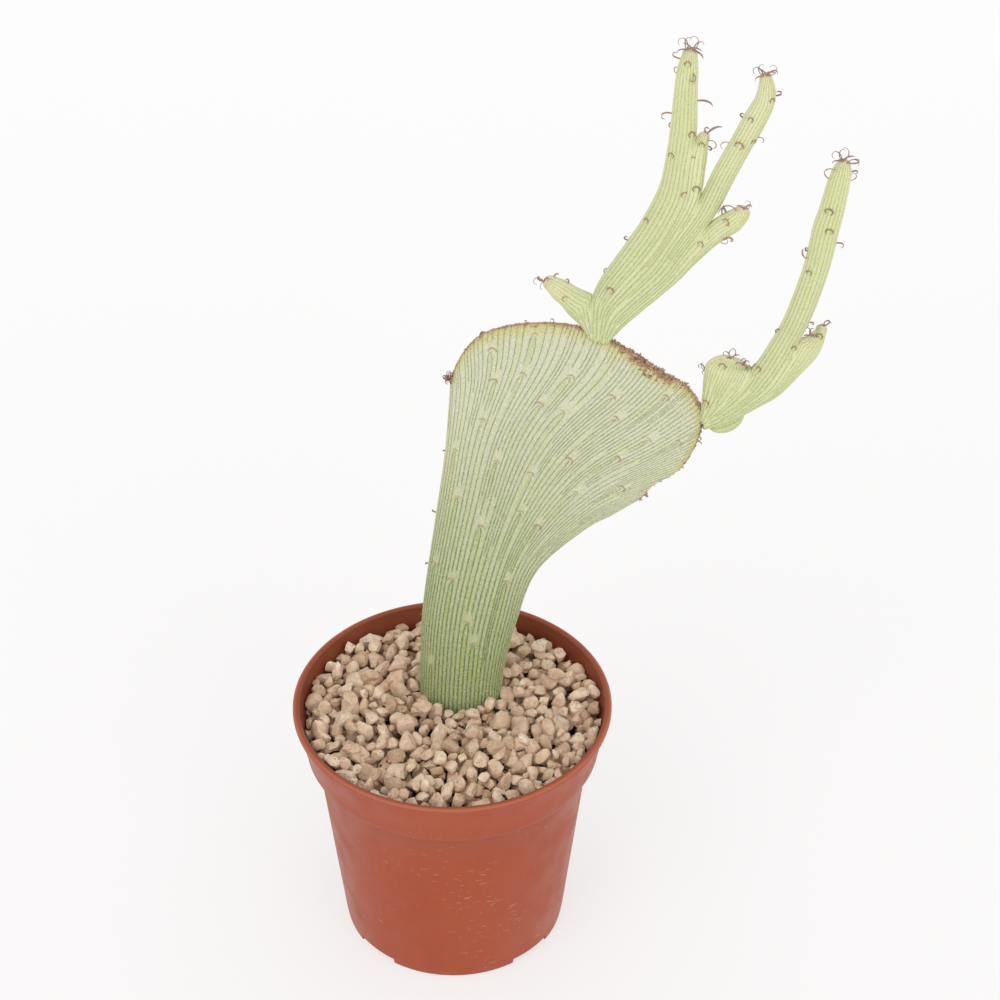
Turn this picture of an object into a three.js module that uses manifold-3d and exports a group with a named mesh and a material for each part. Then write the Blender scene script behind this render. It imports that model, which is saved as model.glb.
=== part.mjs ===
// A crested (fan-shaped) senecio in a round plastic nursery pot topped with pumice gravel.
// Millimetres, +Z up, origin at the centre of the pot's underside, the fan's face looking along -Y.
import * as THREE from "three";
import { mergeVertices } from "three/addons/utils/BufferGeometryUtils.js";
import Module from "manifold-3d";

const wasm = await Module();
wasm.setup();

const CLEARANCE = 0.3; // gap between neighbouring pieces

// Pot
const POT_HEIGHT = 104;
const RIM_RADIUS = 60; // outside of the rolled lip
const LIP_HEIGHT = 2.6;
const LIP_PROUD = 1; // how far the lip stands out from the band under it
const BAND_HEIGHT = 20; // from the rim's top down to the shoulder
const BAND_DRAFT = 3.5; // how much the band narrows on its way down
const SHOULDER_STEP = 3.6; // how far the wall steps in under the band
const SHOULDER_RISE = 1.8;
const BASE_RADIUS = 42.5;
const WALL = 1.3;
const FLOOR_LIFT = 3; // the floor's underside above the ground
const FLOOR_THICKNESS = 1.5;
const FOOT_CORNER = 0.7; // rounding of the foot ring's outer edge
const PAD_RADIUS = 9; // round foot under the middle of the floor
const FOOT_COUNT = 4;
const FOOT_GAP_WIDTH = 18;
const FOOT_GAP_HEIGHT = 2.7;
const FOOT_GAP_DEPTH = 10;
const DRAIN_RADIUS = 4.5;
const DRAIN_RING = 31;

// Filling
const SOIL_BELOW_SHOULDER = 1;
const GRAVEL_BED_BELOW_RIM = 11;
const STONE_SPACING = 5.4; // spiral constant of the stones on top
const STONE_RADIUS = 4.6;
const STONE_LIFT = 1.4; // height of its middle above the bed
const LOOSE_STONE_RADIUS = 3.4;
const LOOSE_STONE_LIFT = 2.2;
const LOOSE_STONE_EVERY = 4; // every fourth stone lies loose
const LOOSE_STONE_COUNT = 18;

// Plant: its own frame has +X across the fan, +Y through it and +Z up along it
const STEM_FOOT = [3, 13]; // where the stem leaves the gravel
const STEM_FOOT_BELOW_RIM = 7;
const FAN_TURN = THREE.MathUtils.degToRad(-8);
const FAN_LEAN = THREE.MathUtils.degToRad(-5);
const STEM_BOTTOM = -16; // its buried end, from the gravel's level
const STEM_DEPTH = 9.5; // half the stem's thickness at the gravel
const FAN_EDGE = 0.5; // half the thickness next to the fan's side edges
const MARGIN_DEPTH = 2.3; // half the fan's thickness at its growing edge
const BRANCH_DEPTH = 4.6; // half the thickness of the branches' broad trunks

// Rows across the fan from its left edge to its right edge, as [across, up] points.
const FAN_ROWS = [
  [[-15.6, STEM_BOTTOM], [15.2, STEM_BOTTOM]],
  [[-15.6, 10], [16.2, 10]],
  [[-14.4, 40], [4, 41], [21.2, 36]],
  [[-9.6, 80], [8, 84], [20, 76], [28.5, 59]],
  [[-6.4, 106], [4, 114], [20, 119], [36, 112], [46, 98], [45, 78]],
  [[-5, 126], [4, 138], [17, 146], [33, 148], [50, 143], [64, 132], [70, 116], [64, 101], [55.5, 86]],
  [
    [-4.4, 137], [-0.8, 147], [6, 156.5], [17, 162], [30, 164], [41, 162.5], [51, 158.3], [60, 153.5],
    [71, 146.3], [80, 141.3], [86, 131], [84.2, 119], [79, 108], [71, 101.5], [65, 93.4],
  ],
];
// Share of the stem-to-margin change in thickness reached at each row, and how boxy its section is.
const FAN_THINNING = [0, 0, 0.16, 0.5, 0.66, 0.84, 1];
const FAN_BOXINESS = [1, 1, 0.9, 0.7, 0.6, 0.55, 0.6];

// Limbs as stations [across, through, up, half width, half depth]
const UPPER_LIMBS = {
  trunk: [
    [47.6, 0, 154, 3.6, 2.6], [48.9, 0, 165, 5.4, 3.4], [53.6, 0, 174, 8, 4.2],
    [61, 0, 184.5, 9.2, BRANCH_DEPTH], [69, 0, 196, 9.8, BRANCH_DEPTH], [76, 0, 207, 8.4, 4],
    [80, 0, 213, 5, 2.6],
  ],
  thumb: [[47, 0, 166, 3, 3], [42.3, 0.4, 168.6, 4, 3.4], [38, 0.8, 173, 4.4, 3.6],
    [33.9, 1.2, 176.2, 3.6, 3.2], [30.8, 1.6, 177.9, 2.4, 2.2], [28.8, 2, 178.7, 0.6, 0.6]],
  leader: [[60, 2, 193, 4.4, 4], [65.7, 2.6, 203, 5, 4.4], [71, 4, 216.2, 5, 4.4], [72.8, 5, 229, 4.6, 4.2],
    [74, 6, 240, 4.6, 4.2], [74, 7.4, 252, 4, 3.8], [74.3, 9, 264, 2.6, 2.6], [74.5, 10, 267, 0.6, 0.6]],
  bud: [[72, 2, 210, 3, 3], [77.4, 2.6, 222, 3.4, 3.2], [80, 3.2, 233, 2.8, 2.6], [81.9, 4, 238.8, 0.6, 0.6]],
  fork: [[72, -0.8, 197, 4, 3.8], [83.4, -1.5, 213.9, 4.2, 3.8], [89, -1.8, 227.3, 4, 3.6],
    [94, -2.2, 239, 3.9, 3.6], [98.6, -2.6, 249, 3.9, 3.5], [101.4, -3.2, 258, 2.9, 2.8],
    [99.5, -4, 265.4, 0.6, 0.6]],
  spur: [[76, -1.6, 194, 4, 3.8], [84.3, -3, 201.8, 4.2, 3.8], [91, -4.2, 208.6, 4.4, 3.8],
    [95.9, -5.2, 213.6, 3.2, 3], [97, -6, 217, 0.6, 0.6]],
};
const SIDE_LIMBS = {
  trunk: [[80, 0, 125.5, 2.6, 2.2], [88.4, 0, 129, 3.8, 3.2], [92, 0, 132.6, 7, 4], [98, 0, 139, 9, 4.4],
    [104.5, 0, 147, 8, 4.4], [109, -1, 155, 5.4, 4]],
  lobe: [[90.6, 0.4, 135, 4.6, 4], [92.1, 1, 143.7, 7.2, 4.2], [93.9, 1.6, 149.2, 6.2, 3.6],
    [95.2, 2.8, 153.6, 1.6, 1.4]],
  arm: [[104, -1.6, 147, 4.6, 4.2], [111.3, -2.5, 159.2, 5, 4.6], [116.2, -3.3, 172, 4.7, 4.4],
    [120.4, -4.2, 188, 4.6, 4.3], [123.6, -5.4, 205, 4.6, 4.2], [126.4, -7, 223, 4.2, 3.9],
    [128.1, -8.6, 235, 3.1, 3], [128.8, -10, 239.2, 0.6, 0.6]],
  prong: [[105, 1, 140, 4, 3.6], [112, 1.5, 146, 4, 3.6], [119, 2.2, 155, 3.7, 3.4],
    [124, 3, 162.8, 2.8, 2.6], [126.4, 4, 167.1, 0.6, 0.6]],
  heel: [[90, 2, 128.6, 2.4, 2.4], [94.5, 3, 127.4, 3.4, 3], [99, 4, 129.6, 2.8, 2.6], [101.6, 4.6, 131.6, 1, 1]],
};

// Dried leaves: [limb, share of its length, degrees round it from +X towards the front, tilt to its tip, length, curl]
const UPPER_LEAVES = [
  ["leader", 1, 170, 50, 6, 1], ["leader", 1, 10, 35, 7, -1], ["leader", 0.86, 170, 20, 6, 1],
  ["leader", 0.44, 172, 20, 5, 1], ["bud", 1, 20, 40, 7, 1], ["bud", 0.8, 8, 10, 6, -1],
  ["fork", 1, 170, 60, 5, 1], ["fork", 0.93, 175, 30, 5, 1], ["fork", 0.88, 5, 20, 4, 1],
  ["fork", 0.76, 172, 15, 6, 1], ["spur", 1, 160, 60, 6, 1], ["spur", 0.8, 170, 40, 8, -1],
  ["spur", 0.6, 350, 10, 5, 1], ["thumb", 1, 90, 70, 5, 1], ["thumb", 0.82, 5, 20, 5, -1],
];
const SIDE_LEAVES = [
  ["arm", 1, 170, 60, 5, 1], ["arm", 1, 10, 40, 6, -1], ["arm", 0.84, 175, 25, 8, 1], ["arm", 0.62, 172, 10, 5, -1],
  ["arm", 0.58, 8, 15, 6, 1], ["lobe", 1, 165, 40, 5, 1], ["lobe", 1, 15, 20, 5, -1], ["prong", 1, 170, 60, 5, 1],
];
const LEAF_WIDTH = 1.3;
const LEAF_THICKNESS = 0.6;

// Roots as [bearing in degrees, reach out, how far the tip hangs below the stem]
const ROOTS = [[15, 30, 46], [85, 24, 62], [160, 31, 40], [230, 34, 55], [300, 33, 66]];
const ROOT_RADIUS = 2.6;
// A root's course as [share of its reach, share of its hang], getting thinner by a quarter at each point
const ROOT_COURSE = [[0, 0], [0.35, 0.12], [0.75, 0.5], [1, 1]];
const CROWN_STEP = 8; // height of each of the root crown's two tapering steps
const CROWN_TAPER = 2.5; // how much narrower each step ends

const RIM_Z = POT_HEIGHT;
const SHOULDER_Z = POT_HEIGHT - BAND_HEIGHT;
const BAND_RADIUS = RIM_RADIUS - LIP_PROUD;
const SHOULDER_RADIUS = BAND_RADIUS - BAND_DRAFT;
const WALL_TOP_RADIUS = SHOULDER_RADIUS - SHOULDER_STEP;
const FLOOR_TOP = FLOOR_LIFT + FLOOR_THICKNESS;
const SOIL_TOP = SHOULDER_Z - SOIL_BELOW_SHOULDER;
const BED_TOP = POT_HEIGHT - GRAVEL_BED_BELOW_RIM;

const plantMatrix = new THREE.Matrix4()
  .makeTranslation(STEM_FOOT[0], STEM_FOOT[1], POT_HEIGHT - STEM_FOOT_BELOW_RIM)
  .multiply(new THREE.Matrix4().makeRotationZ(FAN_TURN))
  .multiply(new THREE.Matrix4().makeRotationX(FAN_LEAN));

function finish(color, roughness) {
  return new THREE.MeshStandardMaterial({ color, roughness, metalness: 0 });
}

// A closed geometry as a manifold solid.
function solidOf(geometry) {
  const bare = geometry.clone();
  bare.deleteAttribute("normal");
  bare.deleteAttribute("uv");
  const merged = mergeVertices(bare, 1e-4);
  const mesh = new wasm.Mesh({
    numProp: 3,
    vertProperties: merged.attributes.position.array,
    triVerts: new Uint32Array(merged.index.array),
  });
  return new wasm.Manifold(mesh);
}

// A manifold solid as a named three.js mesh.
function meshOf(name, solid, material) {
  const { vertProperties, triVerts } = solid.getMesh();
  const geometry = new THREE.BufferGeometry();
  geometry.setAttribute("position", new THREE.BufferAttribute(vertProperties, 3));
  geometry.setIndex(new THREE.BufferAttribute(triVerts, 1));
  geometry.computeVertexNormals();
  const mesh = new THREE.Mesh(geometry, material);
  mesh.name = name;
  return mesh;
}

// A closed skin over rings of equal count; each end ring is closed by strips between its mirror points.
function loft(rings) {
  const count = rings[0].length;
  const positions = rings.flat().flatMap((p) => [p.x, p.y, p.z]);
  const index = [];
  for (let j = 0; j + 1 < rings.length; j += 1) {
    for (let i = 0; i < count; i += 1) {
      const a = j * count + i;
      const b = j * count + ((i + 1) % count);
      index.push(a, b, b + count, a, b + count, a + count);
    }
  }
  const last = (rings.length - 1) * count;
  const at = (i) => i % count;
  for (let i = 0; i < count / 2; i += 1) {
    const [a, b, c, d] = [i, i + 1, at(count - i - 1), at(count - i)];
    if (a !== d) {
      index.push(a, d, c, last + a, last + c, last + d);
    }
    if (b !== c) {
      index.push(a, c, b, last + a, last + b, last + c);
    }
  }
  const geometry = new THREE.BufferGeometry();
  geometry.setAttribute("position", new THREE.Float32BufferAttribute(positions, 3));
  geometry.setIndex(index);
  return geometry;
}

function lathe(profile, segments) {
  const points = profile.map(([radius, z]) => new THREE.Vector2(radius, z));
  return new THREE.LatheGeometry(points, segments).rotateX(Math.PI / 2);
}

// Radius of the pot's inside at a height.
function innerRadius(z) {
  const drop = (from, to, share) => from + (to - from) * share;
  if (z <= SHOULDER_Z) {
    return drop(BASE_RADIUS, WALL_TOP_RADIUS, z / SHOULDER_Z) - WALL;
  }
  const share = Math.max(0, (z - SHOULDER_Z - SHOULDER_RISE) / (BAND_HEIGHT - SHOULDER_RISE));
  if (share > 0) {
    return drop(SHOULDER_RADIUS, BAND_RADIUS, share) - WALL;
  }
  return drop(WALL_TOP_RADIUS, SHOULDER_RADIUS, (z - SHOULDER_Z) / SHOULDER_RISE) - WALL;
}

function potSolid() {
  const lipTurn = Array.from({ length: 5 }, (_, i) => {
    const angle = -Math.PI / 2 + (i * Math.PI) / 4;
    return [
      RIM_RADIUS - LIP_PROUD * (1 - Math.cos(angle)),
      RIM_Z - (LIP_HEIGHT / 2) * (1 - Math.sin(angle)),
    ];
  });
  const profile = [
    [0, 0], [PAD_RADIUS, 0], [PAD_RADIUS, FLOOR_LIFT], [BASE_RADIUS - 2 * WALL, FLOOR_LIFT],
    [BASE_RADIUS - 2 * WALL, 0], [BASE_RADIUS - FOOT_CORNER, 0], [BASE_RADIUS, FOOT_CORNER],
    [WALL_TOP_RADIUS, SHOULDER_Z], [SHOULDER_RADIUS - FOOT_CORNER, SHOULDER_Z + SHOULDER_RISE / 4],
    [SHOULDER_RADIUS, SHOULDER_Z + SHOULDER_RISE], ...lipTurn,
    [innerRadius(RIM_Z), RIM_Z], [innerRadius(SHOULDER_Z + SHOULDER_RISE), SHOULDER_Z + SHOULDER_RISE],
    [innerRadius(SHOULDER_Z), SHOULDER_Z], [innerRadius(FLOOR_TOP), FLOOR_TOP], [0, FLOOR_TOP],
  ];
  let pot = solidOf(lathe(profile, 56));
  for (let i = 0; i < FOOT_COUNT; i += 1) {
    const bearing = ((i + 0.5) * 2 * Math.PI) / FOOT_COUNT;
    const gap = new THREE.BoxGeometry(FOOT_GAP_DEPTH, FOOT_GAP_WIDTH, 2 * FOOT_GAP_HEIGHT);
    gap.translate(BASE_RADIUS - WALL, 0, 0).rotateZ(bearing);
    const drain = new THREE.CylinderGeometry(DRAIN_RADIUS, DRAIN_RADIUS, 4 * FLOOR_THICKNESS, 16);
    drain.rotateX(Math.PI / 2).translate(DRAIN_RING, 0, FLOOR_LIFT).rotateZ(bearing);
    pot = pot.subtract(solidOf(gap)).subtract(solidOf(drain));
  }
  return pot;
}

// A point on row `row` at `share` of its length, in the plant's frame.
const fanRowCurves = FAN_ROWS.map((row) => {
  const points = row.map(([across, up]) => new THREE.Vector3(across, 0, up));
  return new THREE.CatmullRomCurve3(points, false, "catmullrom", 0.5);
});

function fanLine(share) {
  return new THREE.CatmullRomCurve3(fanRowCurves.map((curve) => curve.getPointAt(share)));
}

function alongRows(values, place) {
  const low = Math.min(Math.floor(place), values.length - 2);
  return THREE.MathUtils.lerp(values[low], values[low + 1], place - low);
}

// The stem and its fan as one skin, `grow` larger all round.
function crestGeometry(grow, steps = 14, half = 12) {
  const top = FAN_ROWS.length - 1;
  const lines = Array.from({ length: half + 1 }, (_, i) => fanLine((1 - Math.cos((i * Math.PI) / half)) / 2));
  const rings = [];
  for (let j = 0; j <= steps; j += 1) {
    const place = (top * j) / steps;
    const depth = THREE.MathUtils.lerp(STEM_DEPTH, MARGIN_DEPTH, alongRows(FAN_THINNING, place));
    const boxiness = alongRows(FAN_BOXINESS, place);
    const centres = lines.map((line) => line.getPoint(place / top));
    const reach = lines.map((line) => line.getTangent(place / top));
    const ring = [];
    for (let k = 0; k < 2 * half; k += 1) {
      const i = k <= half ? half - k : k - half;
      const face = k <= half ? 1 : -1;
      const angle = (i * Math.PI) / half;
      const swell = Math.sin(angle) ** boxiness;
      const side = new THREE.Vector3(reach[i].z, 0, -reach[i].x).multiplyScalar(-Math.cos(angle) * grow);
      const end = (j === steps ? grow : 0) + (j === 0 ? -grow : 0);
      const point = centres[i].clone().add(side).addScaledVector(reach[i], end);
      const skin = i > 0 && i < half ? FAN_EDGE + grow : 0;
      point.y = face * ((depth - FAN_EDGE) * swell + skin);
      ring.push(point);
    }
    rings.push(ring);
  }
  return loft(rings);
}

// A limb's stations as rings of points, `sides` round.
function limbRings(stations, sides) {
  const centres = stations.map(([x, y, z]) => new THREE.Vector3(x, y, z));
  const through = new THREE.Vector3(0, 1, 0);
  return stations.map(([, , , halfWidth, halfDepth], j) => {
    const before = centres[Math.max(j - 1, 0)];
    const after = centres[Math.min(j + 1, centres.length - 1)];
    const tangent = after.clone().sub(before).normalize();
    const side = through.clone().cross(tangent).normalize();
    const back = tangent.clone().cross(side);
    return Array.from({ length: sides }, (_, i) => {
      const angle = (i * 2 * Math.PI) / sides;
      return centres[j]
        .clone()
        .addScaledVector(side, Math.cos(angle) * halfWidth)
        .addScaledVector(back, Math.sin(angle) * halfDepth);
    });
  });
}

function branchSolid(limbs, crestCut) {
  const solids = Object.values(limbs).map((stations) => solidOf(loft(limbRings(stations, 12))));
  return wasm.Manifold.union(solids).subtract(crestCut);
}

// Where a leaf sits on a limb's skin, and the way it points.
function leafSeat(stations, share, bearing, tilt) {
  const line = new THREE.CatmullRomCurve3(stations.map(([x, y, z]) => new THREE.Vector3(x, y, z)));
  const place = share * (stations.length - 1);
  const tangent = line.getTangent(share);
  const side = new THREE.Vector3(0, 1, 0).cross(tangent).normalize();
  const front = side.clone().cross(tangent);
  const turn = THREE.MathUtils.degToRad(bearing);
  const lift = THREE.MathUtils.degToRad(tilt);
  const out = side.clone().multiplyScalar(Math.cos(turn)).addScaledVector(front, Math.sin(turn));
  const halfWidth = alongRows(stations.map((station) => station[3]), place);
  const halfDepth = alongRows(stations.map((station) => station[4]), place);
  const reach = Math.hypot(Math.cos(turn) * halfWidth, Math.sin(turn) * halfDepth);
  const away = out.clone().multiplyScalar(Math.cos(lift)).addScaledVector(tangent, Math.sin(lift));
  const gap = 2 * CLEARANCE + LEAF_WIDTH / 2;
  const seat = line.getPoint(share).addScaledVector(out, reach).addScaledVector(away, gap);
  return { seat, away, across: away.clone().cross(front).normalize() };
}

function leafGeometry(stations, [, share, bearing, tilt, length, curl]) {
  const { seat, away, across } = leafSeat(stations, share, bearing, tilt);
  const at = (forward, sideways) =>
    seat.clone().addScaledVector(away, forward * length).addScaledVector(across, sideways * length * curl);
  const path = new THREE.CatmullRomCurve3([at(0, 0), at(0.45, 0.06), at(0.8, 0.3), at(0.72, 0.56)]);
  const outline = new THREE.Shape();
  outline.absellipse(0, 0, LEAF_THICKNESS / 2, LEAF_WIDTH / 2, 0, 2 * Math.PI);
  return new THREE.ExtrudeGeometry(outline, { steps: 6, curveSegments: 3, extrudePath: path });
}

// The roots under the stem, `grow` larger all round.
function rootSolid(grow) {
  const crownTop = STEM_BOTTOM - 2 * CLEARANCE;
  const crown = [0, 1, 2].map((step) => {
    const radius = STEM_DEPTH - step * CROWN_TAPER + grow;
    const z = crownTop - step * CROWN_STEP + (1 - step) * grow;
    return Array.from({ length: 12 }, (_, i) => {
      const angle = (-i * 2 * Math.PI) / 12;
      return new THREE.Vector3(Math.cos(angle) * radius, Math.sin(angle) * radius, z);
    });
  });
  const roots = ROOTS.map(([bearing, reach, hang]) => {
    const angle = THREE.MathUtils.degToRad(bearing);
    const [x, y] = [Math.cos(angle), Math.sin(angle)];
    const stations = ROOT_COURSE.map(([out, down], step) => [
      x * reach * out,
      y * reach * out,
      crownTop - CROWN_STEP - (hang - CROWN_STEP) * down,
      ROOT_RADIUS * (1 - step / ROOT_COURSE.length) + grow,
    ]);
    return solidOf(rootTube(stations));
  });
  return wasm.Manifold.union([solidOf(loft(crown)), ...roots]);
}

function rootTube(stations) {
  const line = new THREE.CatmullRomCurve3(stations.map(([x, y, z]) => new THREE.Vector3(x, y, z)));
  const steps = 6;
  const frames = line.computeFrenetFrames(steps, false);
  const rings = Array.from({ length: steps + 1 }, (_, j) => {
    const radius = alongRows(stations.map((station) => station[3]), (j / steps) * (stations.length - 1));
    return Array.from({ length: 8 }, (_unused, i) => {
      const angle = (i * 2 * Math.PI) / 8;
      return line
        .getPointAt(j / steps)
        .addScaledVector(frames.normals[j], Math.cos(angle) * radius)
        .addScaledVector(frames.binormals[j], Math.sin(angle) * radius);
    });
  });
  return loft(rings);
}

function soilSolid(stemCut, rootCut) {
  const profile = [
    [0, FLOOR_TOP + CLEARANCE], [innerRadius(FLOOR_TOP) - CLEARANCE, FLOOR_TOP + CLEARANCE],
    [innerRadius(SOIL_TOP) - CLEARANCE, SOIL_TOP], [0, SOIL_TOP],
  ];
  return solidOf(lathe(profile, 40)).subtract(stemCut).subtract(rootCut);
}

function jitter(index, salt) {
  const value = Math.sin(index * 12.9898 + salt * 78.233) * 43758.5453;
  return value - Math.floor(value);
}

// The stones of the top layer on a sunflower spiral, leaving out the stem.
function stonePlaces() {
  const places = [];
  for (let i = 0; ; i += 1) {
    const radius = STONE_SPACING * Math.sqrt(i + 0.5);
    if (radius + STONE_RADIUS > innerRadius(BED_TOP) - CLEARANCE) {
      return places;
    }
    const angle = i * THREE.MathUtils.degToRad(137.508);
    const [x, y] = [radius * Math.cos(angle), radius * Math.sin(angle)];
    const local = new THREE.Vector3(x - STEM_FOOT[0], y - STEM_FOOT[1], 0);
    local.applyAxisAngle(new THREE.Vector3(0, 0, 1), -FAN_TURN);
    const [width, depth] = [FAN_ROWS[1][1][0] + STONE_RADIUS, STEM_DEPTH + STONE_RADIUS];
    if (Math.hypot(local.x / width, local.y / depth) > 1) {
      places.push({ x, y, index: i });
    }
  }
}

function stoneGeometry(base, { x, y, index }, radius, height) {
  const size = [0, 1, 2].map((salt) => radius * (0.86 + 0.14 * jitter(index, salt)));
  return base
    .clone()
    .scale(size[0], size[1], size[2] * 0.8)
    .rotateX((jitter(index, 3) - 0.5) * 0.6)
    .rotateZ(jitter(index, 4) * Math.PI)
    .translate(x, y, height);
}

function gravelSolids(stemCut) {
  const bedProfile = [
    [0, SOIL_TOP + CLEARANCE], [innerRadius(SOIL_TOP) - CLEARANCE, SOIL_TOP + CLEARANCE],
    [innerRadius(SHOULDER_Z) - CLEARANCE, SHOULDER_Z],
    [innerRadius(SHOULDER_Z + SHOULDER_RISE) - CLEARANCE, SHOULDER_Z + SHOULDER_RISE + CLEARANCE],
    [innerRadius(BED_TOP) - CLEARANCE, BED_TOP], [0, BED_TOP],
  ];
  const bedShape = new THREE.IcosahedronGeometry(1, 0);
  const looseShape = new THREE.DodecahedronGeometry(1, 0);
  const places = stonePlaces();
  const loosePlaces = places.filter((place, i) => i % LOOSE_STONE_EVERY === 1).slice(0, LOOSE_STONE_COUNT);
  const fixed = places
    .filter((place) => !loosePlaces.includes(place))
    .map((place) => solidOf(stoneGeometry(bedShape, place, STONE_RADIUS, BED_TOP + STONE_LIFT)));
  const looseHeight = BED_TOP + LOOSE_STONE_LIFT;
  const sockets = loosePlaces.map((place) =>
    solidOf(stoneGeometry(looseShape, place, LOOSE_STONE_RADIUS + 1.5 * CLEARANCE, looseHeight)),
  );
  const bed = wasm.Manifold.union([solidOf(lathe(bedProfile, 48)), ...fixed])
    .subtract(wasm.Manifold.union(sockets))
    .subtract(stemCut);
  const loose = loosePlaces.map((place) =>
    solidOf(stoneGeometry(looseShape, place, LOOSE_STONE_RADIUS, looseHeight)),
  );
  return { bed, loose };
}

function plantGroup() {
  const green = finish(0xa9bd85, 0.6);
  const brown = finish(0x8a6a52, 0.85);
  const group = new THREE.Group();
  group.applyMatrix4(plantMatrix);
  const crest = solidOf(crestGeometry(0));
  const crestCut = solidOf(crestGeometry(CLEARANCE));
  group.add(meshOf("crest_stem", crest, green));
  group.add(meshOf("root_system", rootSolid(0), finish(0xc9b48c, 0.9)));
  const branches = [
    ["upper_branch", UPPER_LIMBS, UPPER_LEAVES, "upper_leaf"],
    ["side_branch", SIDE_LIMBS, SIDE_LEAVES, "side_leaf"],
  ];
  branches.forEach(([name, limbs, leaves, leafName]) => {
    group.add(meshOf(name, branchSolid(limbs, crestCut), green));
    leaves.forEach((leaf, i) => {
      const solid = solidOf(leafGeometry(limbs[leaf[0]], leaf));
      group.add(meshOf(`${leafName}_${i + 1}`, solid, brown));
    });
  });
  return group;
}

function pottedSenecio() {
  const group = new THREE.Group();
  const stemCut = solidOf(crestGeometry(CLEARANCE).applyMatrix4(plantMatrix));
  const rootCut = rootSolid(CLEARANCE).transform(plantMatrix.elements);
  const { bed, loose } = gravelSolids(stemCut);
  const pumice = finish(0xb9a48c, 0.95);
  group.add(meshOf("pot", potSolid(), finish(0xb04e33, 0.5)));
  group.add(meshOf("soil", soilSolid(stemCut, rootCut), finish(0x3b2d22, 1)));
  group.add(meshOf("gravel_bed", bed, pumice));
  loose.forEach((stone, i) => group.add(meshOf(`loose_stone_${i + 1}`, stone, pumice)));
  group.add(plantGroup());
  return group;
}

export default pottedSenecio();
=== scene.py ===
"""The looks of a crested senecio in a round plastic nursery pot topped with pumice.

Lengths inside the classes are millimetres; every mesh is written in metres. The plant has its own frame:
"across" runs along the fan, "up" climbs it, and "through" runs from its front face to its back.
"""

import logging
import math
from dataclasses import dataclass, field, fields
from enum import Enum

import bpy
import numpy as np
from mathutils import Matrix, Vector


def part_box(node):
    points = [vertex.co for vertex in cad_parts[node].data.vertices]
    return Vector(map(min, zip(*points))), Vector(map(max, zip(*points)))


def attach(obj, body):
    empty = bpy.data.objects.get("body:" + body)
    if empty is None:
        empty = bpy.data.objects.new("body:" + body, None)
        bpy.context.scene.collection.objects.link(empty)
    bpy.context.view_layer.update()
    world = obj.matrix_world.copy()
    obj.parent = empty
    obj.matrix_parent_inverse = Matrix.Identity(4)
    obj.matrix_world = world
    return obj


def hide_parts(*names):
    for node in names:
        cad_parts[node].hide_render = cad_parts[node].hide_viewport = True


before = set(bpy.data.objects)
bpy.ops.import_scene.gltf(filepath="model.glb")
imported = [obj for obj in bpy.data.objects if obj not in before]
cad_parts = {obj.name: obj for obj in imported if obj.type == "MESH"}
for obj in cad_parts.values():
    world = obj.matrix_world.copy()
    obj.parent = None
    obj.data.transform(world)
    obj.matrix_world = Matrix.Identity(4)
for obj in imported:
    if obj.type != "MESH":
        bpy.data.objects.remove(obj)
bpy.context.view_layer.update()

MM = 0.001
LOG = logging.getLogger("potted_senecio")
Piece = bpy.types.Object
Look = bpy.types.Material
Socket = bpy.types.NodeSocket
Node = bpy.types.Node
Array = np.ndarray
Dice = np.random.Generator


# ---- small sums


def screen(red: int, green: int, blue: int) -> tuple[float, float, float, float]:
    """Gives the linear colour of a display colour whose channels run from 0 to 255."""
    linear = [
        channel / 255 / 12.92 if channel <= 10 else ((channel / 255 + 0.055) / 1.055) ** 2.4
        for channel in (red, green, blue)
    ]
    return linear[0], linear[1], linear[2], 1.0


def smooth(value: Array, low: float, high: float) -> Array:
    """Eases from 0 at low to 1 at high."""
    share = np.clip((np.asarray(value, float) - low) / (high - low), 0, 1)
    return share * share * (3 - 2 * share)


def through_points(points: Array, places: Array) -> Array:
    """Runs a smooth curve through points.

    Args:
        points: The points, along the first axis.
        places: Where to read the curve; 1.5 lies halfway between points 1 and 2.

    Returns:
        The curve's values, one for each place.
    """
    points = np.asarray(points, float)
    last = len(points) - 1
    places = np.clip(np.asarray(places, float), 0, last)
    index = np.minimum(np.floor(places).astype(int), last - 1)
    share = (places - index).reshape((-1,) + (1,) * (points.ndim - 1))
    here, ahead = points[index], points[index + 1]
    start = (index == 0).reshape(share.shape)
    end = (index + 1 == last).reshape(share.shape)
    before = np.where(start, 2 * here - ahead, points[np.maximum(index - 1, 0)])
    beyond = np.where(end, 2 * ahead - here, points[np.minimum(index + 2, last)])
    return 0.5 * (
        2 * here
        + (ahead - before) * share
        + (2 * before - 5 * here + 4 * ahead - beyond) * share**2
        + (3 * here - before - 3 * ahead + beyond) * share**3
    )


def run_along(points: Array, axis: int = 0) -> Array:
    """Gives the distance travelled along a row of points, from its first point."""
    steps = np.linalg.norm(np.diff(points, axis=axis), axis=-1)
    start = np.zeros_like(np.take(steps, [0], axis=axis))
    return np.concatenate([start, np.cumsum(steps, axis=axis)], axis=axis)


def evenly(points: Array, shares: Array, steps: int = 400) -> Array:
    """Reads a curve at shares of its length.

    Args:
        points: The points that the curve passes through.
        shares: Shares of the curve's length, from 0 to 1.
        steps: How finely the curve is measured.

    Returns:
        One point for each share.
    """
    dense = through_points(points, np.linspace(0, len(points) - 1, steps))
    run = run_along(dense)
    run /= run[-1]
    return np.stack([np.interp(shares, run, dense[:, axis]) for axis in range(dense.shape[1])], -1)


def outward(points: Array) -> Array:
    """Gives the unit normal at each point of a sheet whose columns run across and whose rows run up."""
    across = np.gradient(points, axis=1)
    up = np.gradient(points, axis=0)
    normal = np.cross(across, up)
    return normal / np.maximum(np.linalg.norm(normal, axis=-1, keepdims=True), 1e-9)


# ---- mesh helpers


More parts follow.
